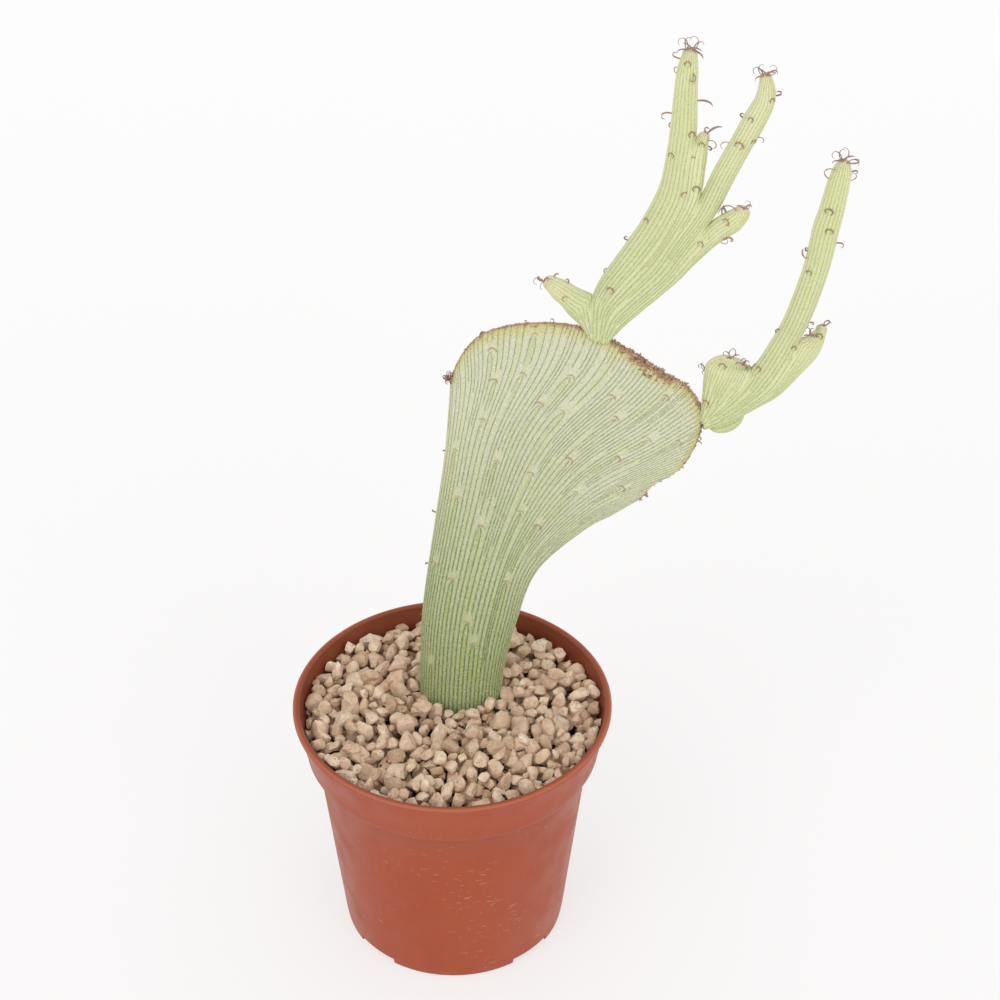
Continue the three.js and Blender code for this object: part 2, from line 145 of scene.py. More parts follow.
def alone() -> None:
    """Deselects everything, so that an operator works on the new piece only."""
    bpy.ops.object.select_all(action="DESELECT")


def named(name: str) -> Piece:
    """Names the object that was just made, and its mesh, and returns it."""
    made = bpy.context.object
    made.name = name
    made.data.name = name
    return made


def pick(pieces: list[Piece]) -> Piece:
    """Selects pieces and makes the first one active."""
    alone()
    for piece in pieces:
        piece.select_set(True)
    bpy.context.view_layer.objects.active = pieces[0]
    return pieces[0]


def weld(piece: Piece, reach: float = 0.004 * MM) -> Piece:
    """Joins the seams of a piece and turns its faces outwards."""
    pick([piece])
    bpy.ops.object.mode_set(mode="EDIT")
    bpy.ops.mesh.select_all(action="SELECT")
    bpy.ops.mesh.remove_doubles(threshold=reach)
    bpy.ops.mesh.dissolve_degenerate(threshold=reach)
    bpy.ops.mesh.normals_make_consistent(inside=False)
    bpy.ops.object.mode_set(mode="OBJECT")
    return piece


def join(name: str, pieces: list[Piece]) -> Piece:
    """Joins pieces into one and names it."""
    pick(pieces)
    if len(pieces) > 1:
        bpy.ops.object.join()
    return named(name)


def soften(piece: Piece, degrees: float = 180) -> Piece:
    """Shades a piece smooth, keeping edges that are sharper than an angle."""
    pick([piece])
    if degrees >= 180:
        bpy.ops.object.shade_smooth()
    else:
        bpy.ops.object.shade_smooth_by_angle(angle=math.radians(degrees))
    return piece


def set_marks(piece: Piece, marks: dict[str, Array]) -> None:
    """Stores named numbers on the points of a piece for its material to read."""
    for name, values in marks.items():
        layer = piece.data.attributes.new(name, "FLOAT", "POINT")
        layer.data.foreach_set("value", np.ascontiguousarray(values, np.float32).ravel())


def points_of(piece: Piece) -> Array:
    """Gives the positions of a piece's points, in rows of three."""
    return np.array([v.co for v in piece.data.vertices])


def move_points(piece: Piece, points: Array) -> None:
    """Moves the points of a piece to new positions in metres."""
    piece.data.vertices.foreach_set("co", points.astype(np.float32).ravel())
    piece.data.update()


def sheet(name: str, points: Array, marks: dict[str, Array] | None = None) -> Piece:
    """Lays a grid and moves its points into place.

    Args:
        name: The piece's name.
        points: Positions in metres, in rows and columns.
        marks: Numbers to store on the points, in the same rows and columns.

    Returns:
        The piece.
    """
    rows, columns = points.shape[:2]
    alone()
    bpy.ops.mesh.primitive_grid_add(x_subdivisions=columns - 1, y_subdivisions=rows - 1, size=1)
    piece = named(name)
    move_points(piece, points)
    set_marks(piece, marks or {})
    return piece


def copies_of(piece: Piece, name: str, matrix: Matrix) -> Piece:
    """Copies a piece with its own mesh, and puts the copy in place."""
    twin = piece.copy()
    twin.data = piece.data.copy()
    twin.name = name
    bpy.context.scene.collection.objects.link(twin)
    twin.data.transform(matrix)
    return twin


def any_turn(dice: Dice) -> Matrix:
    """Gives a random turn."""
    return Matrix.Rotation(dice.uniform(0, 6.3), 4, Vector(dice.normal(size=3)))


def remove(pieces: list[Piece]) -> None:
    """Deletes patterns that have been copied."""
    pick(pieces)
    bpy.ops.object.delete()


def finished(piece: Piece, look: Look, nodes: list[str]) -> None:
    """Gives a piece its material, ties it to the frame and hides the nodes it stands for."""
    piece.data.materials.clear()
    piece.data.materials.append(look)
    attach(piece, "root")
    if nodes:
        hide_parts(*nodes)
    LOG.info("%s: %d points, %d faces", piece.name, len(piece.data.vertices), len(piece.data.polygons))


# ---- shader helpers


@dataclass
class Wiring:
    """Adds and joins the nodes of one material or node group."""

    tree: bpy.types.NodeTree

    def add(self, kind: str, inputs: dict | None = None, **settings: object) -> Node:
        """Adds a node.

        Args:
            kind: The node's type, without "ShaderNode".
            inputs: Values or sockets for its inputs, by name or number.
            settings: Properties of the node itself.

        Returns:
            The node.
        """
        node = self.tree.nodes.new("ShaderNode" + kind)
        for key, value in settings.items():
            setattr(node, key, value)
        for key, value in (inputs or {}).items():
            if isinstance(value, Socket):
                self.tree.links.new(value, node.inputs[key])
            else:
                node.inputs[key].default_value = value
        return node

    def mark(self, name: str) -> Socket:
        """Reads a number stored on the piece's points."""
        return self.add("Attribute", attribute_name=name).outputs["Fac"]

    def place(self) -> Socket:
        """Reads the position on the piece."""
        return self.add("TexCoord").outputs["Object"]

    def times(self, first: object, second: object, clamp: bool = False) -> Socket:
        """Multiplies two numbers."""
        return self.add("Math", {0: first, 1: second}, operation="MULTIPLY", use_clamp=clamp).outputs[0]

    def plus(self, first: object, second: object) -> Socket:
        """Adds two numbers."""
        return self.add("Math", {0: first, 1: second}, operation="ADD").outputs[0]

    def less(self, first: object, second: object) -> Socket:
        """Takes the second number from the first."""
        return self.add("Math", {0: first, 1: second}, operation="SUBTRACT").outputs[0]

    def ease(self, value: object, low: float, high: float, start: float = 0, end: float = 1) -> Socket:
        """Eases from start to end while a value goes from low to high."""
        ends = {0: value, 1: low, 2: high, 3: start, 4: end}
        return self.add("MapRange", ends, interpolation_type="SMOOTHSTEP").outputs[0]

    def mix(self, share: object, first: object, second: object) -> Socket:
        """Mixes two colours."""
        return self.add("Mix", {0: share, 6: first, 7: second}, data_type="RGBA").outputs[2]

    def noise(self, place: object, scale: float, detail: float = 3, rough: float = 0.5) -> Socket:
        """Reads cloudy noise; scale counts its lumps in a metre."""
        inputs = {"Vector": place, "Scale": scale, "Detail": detail, "Roughness": rough}
        return self.add("TexNoise", inputs).outputs[0]

    def cells(self, place: object, scale: float) -> Socket:
        """Reads the distance to the nearest of scattered points."""
        return self.add("TexVoronoi", {"Vector": place, "Scale": scale}).outputs["Distance"]

    def bump(self, height: object, depth: float, strength: float = 1.0) -> Socket:
        """Turns a height into a normal."""
        return self.add("Bump", {"Height": height, "Distance": depth, "Strength": strength}).outputs[0]

    def xyz(self, x: object = 0.0, y: object = 0.0, z: object = 0.0) -> Socket:
        """Makes a position from three numbers."""
        return self.add("CombineXYZ", {0: x, 1: y, 2: z}).outputs[0]


def blank_material(name: str) -> tuple[Look, Wiring, Node]:
    """Starts a material and returns it with its wiring and its surface shader."""
    look = bpy.data.materials.new(name)
    look.use_nodes = True
    wiring = Wiring(look.node_tree)
    return look, wiring, look.node_tree.nodes["Principled BSDF"]


def plug(wiring: Wiring, shader: Node, inputs: dict) -> None:
    """Sets or joins the inputs of a surface shader."""
    for key, value in inputs.items():
        if isinstance(value, Socket):
            wiring.tree.links.new(value, shader.inputs[key])
        else:
            shader.inputs[key].default_value = value


def dress(wiring: Wiring, shader: Node, colour: Socket, rough: object, gloss: float, normal: Socket) -> None:
    """Gives a surface shader its colour, roughness, gloss and normal."""
    surface = {"Base Color": colour, "Roughness": rough, "Specular IOR Level": gloss, "Normal": normal}
    plug(wiring, shader, surface)


def group_with(name: str, inputs: dict, outputs: dict[str, str]) -> tuple[Wiring, Node, Node]:
    """Starts a node group.

    Args:
        name: The group's name.
        inputs: Default values of its input sockets, by name; four numbers make a colour.
        outputs: Socket kinds of its outputs, by name.

    Returns:
        The group's wiring, its input node and its output node.
    """
    tree = bpy.data.node_groups.new(name, "ShaderNodeTree")
    for key, value in inputs.items():
        kind = "NodeSocketColor" if isinstance(value, tuple) else "NodeSocketFloat"
        tree.interface.new_socket(key, in_out="INPUT", socket_type=kind).default_value = value
    for key, kind in outputs.items():
        tree.interface.new_socket(key, in_out="OUTPUT", socket_type=kind)
    start = tree.nodes.new("NodeGroupInput")
    end = tree.nodes.new("NodeGroupOutput")
    return Wiring(tree), start, end


# ---- finishes


def grain_group() -> bpy.types.NodeTree:
    """Makes the "Fine Grain" group: a pale frosted speckle and the height that goes with it."""
    wiring, start, end = group_with(
        "Fine Grain",
        {"Grains per metre": 1500.0, "Coverage": 0.5},
        {"Speckle": "NodeSocketFloat", "Height": "NodeSocketFloat"},
    )
    place = wiring.place()
    fine = wiring.add("TexNoise", {"Vector": place, "Scale": start.outputs[0], "Detail": 3.0}).outputs[0]
    edge = wiring.less(0.82, wiring.times(start.outputs[1], 0.4))
    speckle = wiring.times(wiring.less(fine, edge), 9.0, clamp=True)
    wiring.tree.links.new(speckle, end.inputs[0])
    wiring.tree.links.new(fine, end.inputs[1])
    return wiring.tree


def stem_skin_group() -> bpy.types.NodeTree:
    """Makes the "Stem Skin" group: green skin with dark lines (their own colour together with painted shade
    in the grooves), a painted soft shade beside the lines, pale bloom, yellow tongues and a warm rim.
    """
    wiring, start, end = group_with(
        "Stem Skin",
        {
            "Low Colour": screen(176, 186, 128),
            "High Colour": screen(209, 210, 182),
            "Line Colour": screen(112, 128, 74),
            "High Line Colour": screen(140, 148, 108),
            "Rim Colour": screen(212, 196, 120),
            "Line Width": 0.34,
            "Line Strength": 0.85,
            "Stripe": 0.5,
        },
        {"Colour": "NodeSocketColor", "Height": "NodeSocketFloat"},
    )
    low, high, line, high_line, rim, width, strength, stripe = (start.outputs[i] for i in range(8))
    rise, tongue, bloom = wiring.mark("rise"), wiring.mark("tongue"), wiring.mark("bloom")
    gap, strand, along = wiring.mark("line_gap"), wiring.mark("strand"), wiring.mark("along")
    place = wiring.place()
    streak = wiring.noise(wiring.xyz(strand, wiring.times(along, 0.02)), 1.1, 3, 0.6)
    cloud = wiring.noise(place, 60, 3)
    skin = wiring.mix(rise, low, high)
    vivid = wiring.times(wiring.ease(streak, 0.5, 0.68), stripe)
    fresh = wiring.mix(rise, screen(176, 193, 92), screen(196, 206, 136))
    skin = wiring.mix(vivid, skin, fresh)
    broad = wiring.noise(wiring.xyz(wiring.times(strand, 0.16), wiring.times(along, 0.006)), 1.0, 2)
    skin = wiring.mix(wiring.ease(broad, 0.46, 0.62, 0.0, 0.4), skin, fresh)
    dusty = wiring.times(wiring.ease(streak, 0.5, 0.33), stripe)
    skin = wiring.mix(dusty, skin, wiring.mix(rise, screen(194, 198, 168), screen(214, 213, 196)))
    clouded = wiring.mix(rise, screen(168, 184, 112), high)
    skin = wiring.mix(wiring.ease(cloud, 0.38, 0.66, 0.0, 0.28), skin, clouded)
    skin = wiring.mix(wiring.times(bloom, 0.3), skin, screen(216, 211, 188))
    skin = wiring.mix(wiring.times(tongue, wiring.ease(rise, 0.1, 1.0, 0.6, 0.3)), skin, screen(164, 180, 88))
    skin = wiring.mix(wiring.times(wiring.mark("rim"), 0.85), skin, rim)
    wander = wiring.times(wiring.noise(place, 420, 2), 0.25)
    shaky_gap = wiring.plus(gap, wiring.less(wander, 0.125))
    # The dark line colour is the lines' own colour together with painted shade in the grooves.
    core = wiring.ease(shaky_gap, 0.04, width, 1.0, 0.0)
    # Painted shade: a broad soft darkening beside each line, strongest on old skin.
    painted_shade_strength = wiring.ease(rise, 0.1, 0.8, 0.5, 0.16)
    wide = wiring.times(wiring.ease(gap, 0.0, 0.75, 1.0, 0.0), painted_shade_strength)
    depth = wiring.times(core, strength)
    patches = wiring.noise(wiring.xyz(strand, wiring.times(along, 0.12)), 2.3, 2)
    patchy = wiring.ease(patches, 0.3, 0.6, 0.55, 1)
    drawn = wiring.mix(rise, line, high_line)
    skin = wiring.mix(wiring.times(wide, strength), skin, drawn)
    skin = wiring.mix(wiring.times(depth, patchy), skin, drawn)
    grain = wiring.add("Group", node_tree=bpy.data.node_groups["Fine Grain"])
    grain.inputs[0].default_value = 2300.0
    grain.inputs[1].default_value = 0.82
    skin = wiring.mix(wiring.times(grain.outputs[0], 0.4), skin, screen(238, 238, 220))
    dark = wiring.ease(wiring.noise(place, 2100, 2), 0.5, 0.32, 0.0, 0.34)
    skin = wiring.mix(dark, skin, drawn)
    height = wiring.less(wiring.times(grain.outputs[1], 0.5), core)
    wiring.tree.links.new(skin, end.inputs[0])
    wiring.tree.links.new(height, end.inputs[1])
    return wiring.tree


@dataclass(frozen=True)
class StemFinish:
    """A green, finely lined stem skin.

    Attributes:
        name: The material's name.
        low: Skin colour where it is old.
        high: Skin colour where it is young.
        line: Colour of the grooves on old skin, their own dark colour together with painted shade in the
            grooves.
        high_line: Colour of the grooves on young skin, also with painted shade in the grooves.
        rim: Colour of the growing rim or tip.
        line_width: Half the width of a line, in millimetres.
        line_strength: How dark the lines and the painted shade beside them are, from 0 to 1.
        stripe: How much the colour changes from strand to strand.
    """

    name: str
    low: tuple
    high: tuple
    line: tuple
    high_line: tuple
    rim: tuple
    line_width: float
    line_strength: float
    stripe: float

    def make(self) -> Look:
        """Makes the material."""
        look, wiring, shader = blank_material(self.name)
        skin = wiring.add("Group", node_tree=bpy.data.node_groups["Stem Skin"])
        for socket, entry in zip(skin.inputs, fields(self)[1:]):
            socket.default_value = getattr(self, entry.name)
        surface = {
            "Base Color": skin.outputs["Colour"],
            "Normal": wiring.bump(skin.outputs["Height"], 0.12 * MM, 0.6),
            "Roughness": 0.62,
            "Specular IOR Level": 0.35,
            "Subsurface Weight": 0.12,
            "Subsurface Radius": (1.2 * MM, 1.6 * MM, 0.6 * MM),
            "Subsurface Scale": 1.0,
        }
        plug(wiring, shader, surface)
        return look


@dataclass(frozen=True)
class TerracottaPlastic:
    """Satin terracotta-coloured plastic with scuffs, scratches and dust, a painted highlight along the lip's
    top edge and painted shade on the inner wall.
    """

    body: tuple = screen(162, 66, 29)
    pale: tuple = screen(168, 77, 42)
    dust: tuple = screen(205, 178, 160)
    # Painted shade: the darker colour given to the inner wall, for the shade inside the rim.
    inside: tuple = screen(140, 72, 48)

    def make(self) -> Look:
        """Makes the material."""
        look, wiring, shader = blank_material("terracotta_plastic")
        place = wiring.place()
        stretched = wiring.add("Mapping", {0: place, 3: (1.0, 1.0, 0.12)}).outputs[0]
        level = wiring.add("Mapping", {0: place, 3: (1.0, 1.0, 6.0)}).outputs[0]
        colour = wiring.mix(wiring.ease(wiring.noise(place, 22, 4), 0.35, 0.7, 0, 0.5), self.body, self.pale)
        drawn = wiring.ease(wiring.noise(stretched, 160, 3), 0.45, 0.75, 0, 0.3)
        colour = wiring.mix(drawn, colour, self.pale)
        scratch = wiring.ease(wiring.noise(level, 260, 2), 0.665, 0.70, 0, 0.45)
        patch = wiring.ease(wiring.noise(place, 30, 2), 0.48, 0.62)
        scratch = wiring.times(scratch, patch)
        colour = wiring.mix(scratch, colour, self.dust)
        speck = wiring.ease(wiring.cells(place, 330), 0.10, 0.05)
        speck = wiring.times(speck, wiring.ease(wiring.noise(place, 75, 2), 0.52, 0.68, 0, 0.75))
        colour = wiring.mix(speck, colour, self.dust)
        # Painted highlight: a pale pinkish line along the top outer edge of the lip.
        colour = wiring.mix(wiring.mark("painted_lip_highlight"), colour, screen(206, 148, 124))
        # Painted shade: the inner wall is darkened.
        colour = wiring.mix(wiring.mark("inside"), colour, self.inside)
        rough = wiring.ease(wiring.noise(place, 90, 4), 0.3, 0.75, 0.36, 0.52)
        rough = wiring.plus(rough, wiring.times(scratch, 0.3))
        height = wiring.plus(wiring.noise(place, 700, 3), wiring.times(scratch, -0.8))
        dress(wiring, shader, colour, rough, 0.36, wiring.bump(height, 0.04 * MM, 0.5))
        return look


@dataclass(frozen=True)
class PumiceFinish:
    """Dry pumice whose colour changes from stone to stone, over stops of (tint, display colour), with painted
    shade in its pits.
    """

    name: str = "pumice"
    stops: tuple = (
        (0.0, (200, 171, 141)), (0.14, (226, 199, 171)), (0.34, (236, 213, 187)), (0.52, (245, 224, 198)),
        (0.66, (234, 209, 183)), (0.80, (228, 198, 172)), (0.92, (215, 188, 160)), (1.0, (249, 232, 211)),
    )

    def make(self) -> Look:
        """Makes the material."""
        look, wiring, shader = blank_material(self.name)
        place = wiring.place()
        tint = wiring.mark("tint")
        ramp = wiring.add("ValToRGB", {0: tint})
        while len(ramp.color_ramp.elements) < len(self.stops):
            ramp.color_ramp.elements.new(0.5)
        for element, (position, colour) in zip(ramp.color_ramp.elements, self.stops):
            element.position = position
            element.color = screen(*colour)
        colour = ramp.outputs[0]
        shift = wiring.xyz(tint, tint, 0.0)
        moved = wiring.add("VectorMath", {0: place, 1: shift}, operation="ADD").outputs[0]
        cloud = wiring.ease(wiring.noise(moved, 420, 4), 0.35, 0.7, 0, 0.45)
        colour = wiring.mix(cloud, colour, screen(186, 146, 114))
        # Painted shade: the pits are darkened for the shade inside them; the bump presses them in too.
        shaded_pits = wiring.ease(wiring.cells(moved, 1150), 0.34, 0.14)
        shaded_pits = wiring.times(shaded_pits, wiring.ease(wiring.noise(moved, 300, 2), 0.45, 0.6))
        colour = wiring.mix(wiring.times(shaded_pits, 0.6), colour, screen(118, 87, 63))
        chalk = wiring.ease(wiring.noise(moved, 1700, 3), 0.56, 0.7, 0, 0.35)
        colour = wiring.mix(chalk, colour, screen(249, 238, 219))
        height = wiring.less(wiring.noise(moved, 900, 4), shaded_pits)
        dress(wiring, shader, colour, 0.92, 0.25, wiring.bump(height, 0.3 * MM, 0.8))
        return look


@dataclass(frozen=True)
class EarthFinish:
    """A rough natural surface of two clouded colours with crumbs.

    Attributes:
        name: The material's name.
        dark: The darker colour.
        light: The lighter colour.
        scale: Lumps in a metre.
        depth: Height of the lumps, in metres.
    """

    name: str
    dark: tuple
    light: tuple
    scale: float
    depth: float

    def make(self) -> Look:
        """Makes the material."""
        look, wiring, shader = blank_material(self.name)
        place = wiring.place()
        cloud = wiring.noise(place, self.scale, 5, 0.62)
        fleck = wiring.ease(wiring.cells(place, self.scale * 2.2), 0.16, 0.08, 0, 0.4)
        colour = wiring.mix(wiring.ease(cloud, 0.36, 0.66), self.dark, self.light)
        colour = wiring.mix(fleck, colour, self.light)
        dress(wiring, shader, colour, 0.9, 0.2, wiring.bump(cloud, self.depth, 0.9))
        return look


@dataclass(frozen=True)
class DryLeafFinish:
    """Papery dried leaf: mauve-grey to tan along its length, with darker veins and tip."""

    name: str
    base: tuple
    middle: tuple
    tip: tuple

    def make(self) -> Look:
        """Makes the material."""
        look, wiring, shader = blank_material(self.name)
        place = wiring.place()
        tint, along = wiring.mark("tint"), wiring.mark("along")
        colour = wiring.mix(wiring.ease(along, 0.0, 0.45), self.base, self.middle)
        colour = wiring.mix(wiring.ease(along, 0.5, 1.0), colour, self.tip)
        colour = wiring.mix(wiring.times(tint, 0.5), colour, screen(196, 160, 132))
        veins = wiring.ease(wiring.noise(place, 900, 3), 0.4, 0.7, 0, 0.35)
        colour = wiring.mix(veins, colour, screen(122, 94, 84))
        dress(wiring, shader, colour, 0.8, 0.25, wiring.bump(wiring.noise(place, 1500, 3), 0.1 * MM, 0.6))
        return look


# ---- pot


@dataclass
class NurseryPot:
    """A moulded round plastic pot: rolled lip, deep band, shoulder, tapered wall, feet and drain holes."""

    height: float = 104.0
    lip_radius: float = 60.0
    band_radius: float = 59.0
    band_foot_radius: float = 55.5
    band_foot: float = 84.0
    wall_top_radius: float = 51.9
    base_radius: float = 42.5
    wall: float = 1.3
    floor_level: float = 3.0
    floor_thickness: float = 1.5
    segments: int = 160
    foot_count: int = 4
    foot_gap: tuple[float, float, float] = (18.0, 14.0, 2.7)
    drain_ring: float = 31.0
    drain_radius: float = 4.5

    def profile(self) -> list[tuple[float, float]]:
        """Gives the wall's points of (radius, height), from the inner floor over the lip to the foot."""
        top, step, floor, base = self.height, self.band_foot, self.floor_level, self.base_radius
        band, waist, shoulder = self.band_radius, self.band_foot_radius, self.wall_top_radius
        inner_band = band - self.wall - 0.4
        taper = shoulder - base
        slope = taper / step
        floor_top = floor + self.floor_thickness
        points = [
            (6.0, floor_top), (24.0, floor_top), (base - 3.4, floor_top),
            (base - 1.6 + floor_top * slope, floor_top + 1.0),
            (base - self.wall + 0.5 * step * slope, 0.5 * step),
            (shoulder - self.wall, step - 0.2), (shoulder - self.wall + 0.5, step + 1.2),
            (waist - self.wall - 0.6, step + 2.0), (waist - self.wall, step + 2.8),
            (inner_band, top - 2.4), (inner_band + 0.15, top - 0.9),
        ]
        lip_centre = (inner_band + self.lip_radius) / 2
        lip_half = (self.lip_radius - inner_band) / 2
        for turn in (155, 125, 90, 60, 35, 10):
            east, up = math.cos(math.radians(turn)), math.sin(math.radians(turn))
            points.append((lip_centre + lip_half * east, top - 0.9 + 0.9 * up))
        for inset, drop in ((0.0, 1.7), (0.15, 2.3), (0.55, 2.6)):
            points.append((self.lip_radius - inset, top - drop))
        points += [
            (band + 0.12, top - 2.9), (band, top - 3.5), (band - 1.7, 0.5 * (top + step)),
            (waist + 0.12, step + 2.4), (waist, step + 0.9), (waist - 0.35, step + 0.25), (waist - 0.9, step),
            (shoulder + 0.9, step), (shoulder + 0.25, step - 0.35), (shoulder - 0.02, step - 1.2),
        ]
        for share in (0.8, 0.6, 0.4, 0.2, 0.06):
            points.append((base + share * taper, share * step))
        foot = ((0.0, 1.2), (0.15, 0.45), (0.6, 0.08), (1.2, 0.0), (4.4, 0.0), (5.0, 0.4))
        foot += ((5.4, floor - 0.5), (6.4, floor))
        points += [(base - inset, level) for inset, level in foot]
        points += [(24.0, floor), (6.0, floor)]
        return points

    def turn_wall(self) -> Piece:
        """Raises the wall ring by ring from a circle, and closes both floors."""
        points = self.profile()
        radius, level = points[0]
        alone()
        bpy.ops.mesh.primitive_circle_add(
            vertices=self.segments, radius=radius * MM, location=(0, 0, level * MM), fill_type="NGON"
        )
        pot = named("nursery_pot")
        bpy.ops.object.transform_apply(location=True)
        bpy.ops.object.mode_set(mode="EDIT")
        bpy.ops.mesh.select_mode(type="EDGE")
        bpy.ops.mesh.select_all(action="SELECT")
        for next_radius, next_level in points[1:]:
            shift = {"value": (0, 0, (next_level - level) * MM)}
            bpy.ops.mesh.extrude_edges_move(TRANSFORM_OT_translate=shift)
            scale = next_radius / radius
            bpy.ops.transform.resize(value=(scale, scale, 1), center_override=(0, 0, next_level * MM))
            radius, level = next_radius, next_level
        bpy.ops.mesh.edge_face_add()
        bpy.ops.mesh.select_all(action="SELECT")
        bpy.ops.mesh.normals_make_consistent(inside=False)
        bpy.ops.object.mode_set(mode="OBJECT")
        return pot

    def cut(self, pot: Piece) -> None:
        """Cuts the gaps between the feet and the drain holes."""
        cutters = []
        for index in range(self.foot_count):
            angle = math.radians(45 + 360 / self.foot_count * index)
            east, north = math.cos(angle), math.sin(angle)
            place = (east * self.base_radius * MM, north * self.base_radius * MM, 0)
            alone()
            bpy.ops.mesh.primitive_cube_add(size=1, location=place, rotation=(0, 0, angle + math.pi / 2))
            gap = named(f"gap_{index}")
            gap.scale = (self.foot_gap[0] * MM, self.foot_gap[1] * MM, 2 * self.foot_gap[2] * MM)
            cutters.append(gap)
            place = (east * self.drain_ring * MM, north * self.drain_ring * MM, self.floor_level * MM)
            alone()
            bpy.ops.mesh.primitive_cylinder_add(
                vertices=48, radius=self.drain_radius * MM, depth=12 * MM, location=place
            )
            cutters.append(named(f"drain_{index}"))
        for cutter in cutters:
            pick([pot])
            modifier = pot.modifiers.new("cut", "BOOLEAN")
            modifier.object = cutter
            modifier.solver = "EXACT"
            bpy.ops.object.modifier_apply(modifier="cut")
        remove(cutters)

    def build(self) -> Piece:
        """Makes the pot."""
        pot = self.turn_wall()
        self.cut(pot)
        place = points_of(pot) / MM
        radius = np.hypot(place[:, 0], place[:, 1])
        band_share = (place[:, 2] - self.band_foot) / (self.height - self.band_foot)
        outer = self.band_foot_radius + (self.band_radius - self.band_foot_radius) * band_share
        # Marks the inner wall, which gets painted shade.
        inside_shade = smooth(outer - radius, 0.55, 0.9) * smooth(place[:, 2], 80, 88)
        # Marks a thin line along the top outer edge of the lip, which gets a painted highlight.
        painted_lip_highlight = smooth(place[:, 2], self.height - 1.2, self.height - 0.2) * smooth(radius, 58.6, 59.8) * 0.35
        set_marks(pot, {"inside": inside_shade, "painted_lip_highlight": painted_lip_highlight})
        soften(pot, 40)
        finished(pot, TerracottaPlastic().make(), ["pot"])
        return pot


# ---- gravel


@dataclass
class StonePattern:
    """A rounded, broken stone that is made once and copied."""

    index: int
    fineness: int = 2
    cuts: int = 10

    def build(self) -> Piece:
        """Makes a ball, flattens it on random sides and returns it."""
        dice = np.random.default_rng(700 + self.index)
        alone()
        bpy.ops.mesh.primitive_ico_sphere_add(subdivisions=self.fineness, radius=1)
        stone = named(f"stone_pattern_{self.fineness}_{self.index}")
        place = points_of(stone)
        for _ in range(self.cuts):
            facing = dice.normal(size=3)
            facing /= np.linalg.norm(facing)
            over = np.maximum(place @ facing - dice.uniform(0.47, 0.80), 0)
            place -= over[:, None] * facing
        place *= 1 + 0.03 * dice.normal(size=(len(place), 1))
        place *= dice.uniform(0.85, 1.35, 3)
        place *= 1.04 / np.cbrt(np.prod(place.max(0) - place.min(0)) / 8)
        move_points(stone, place)
        return stone


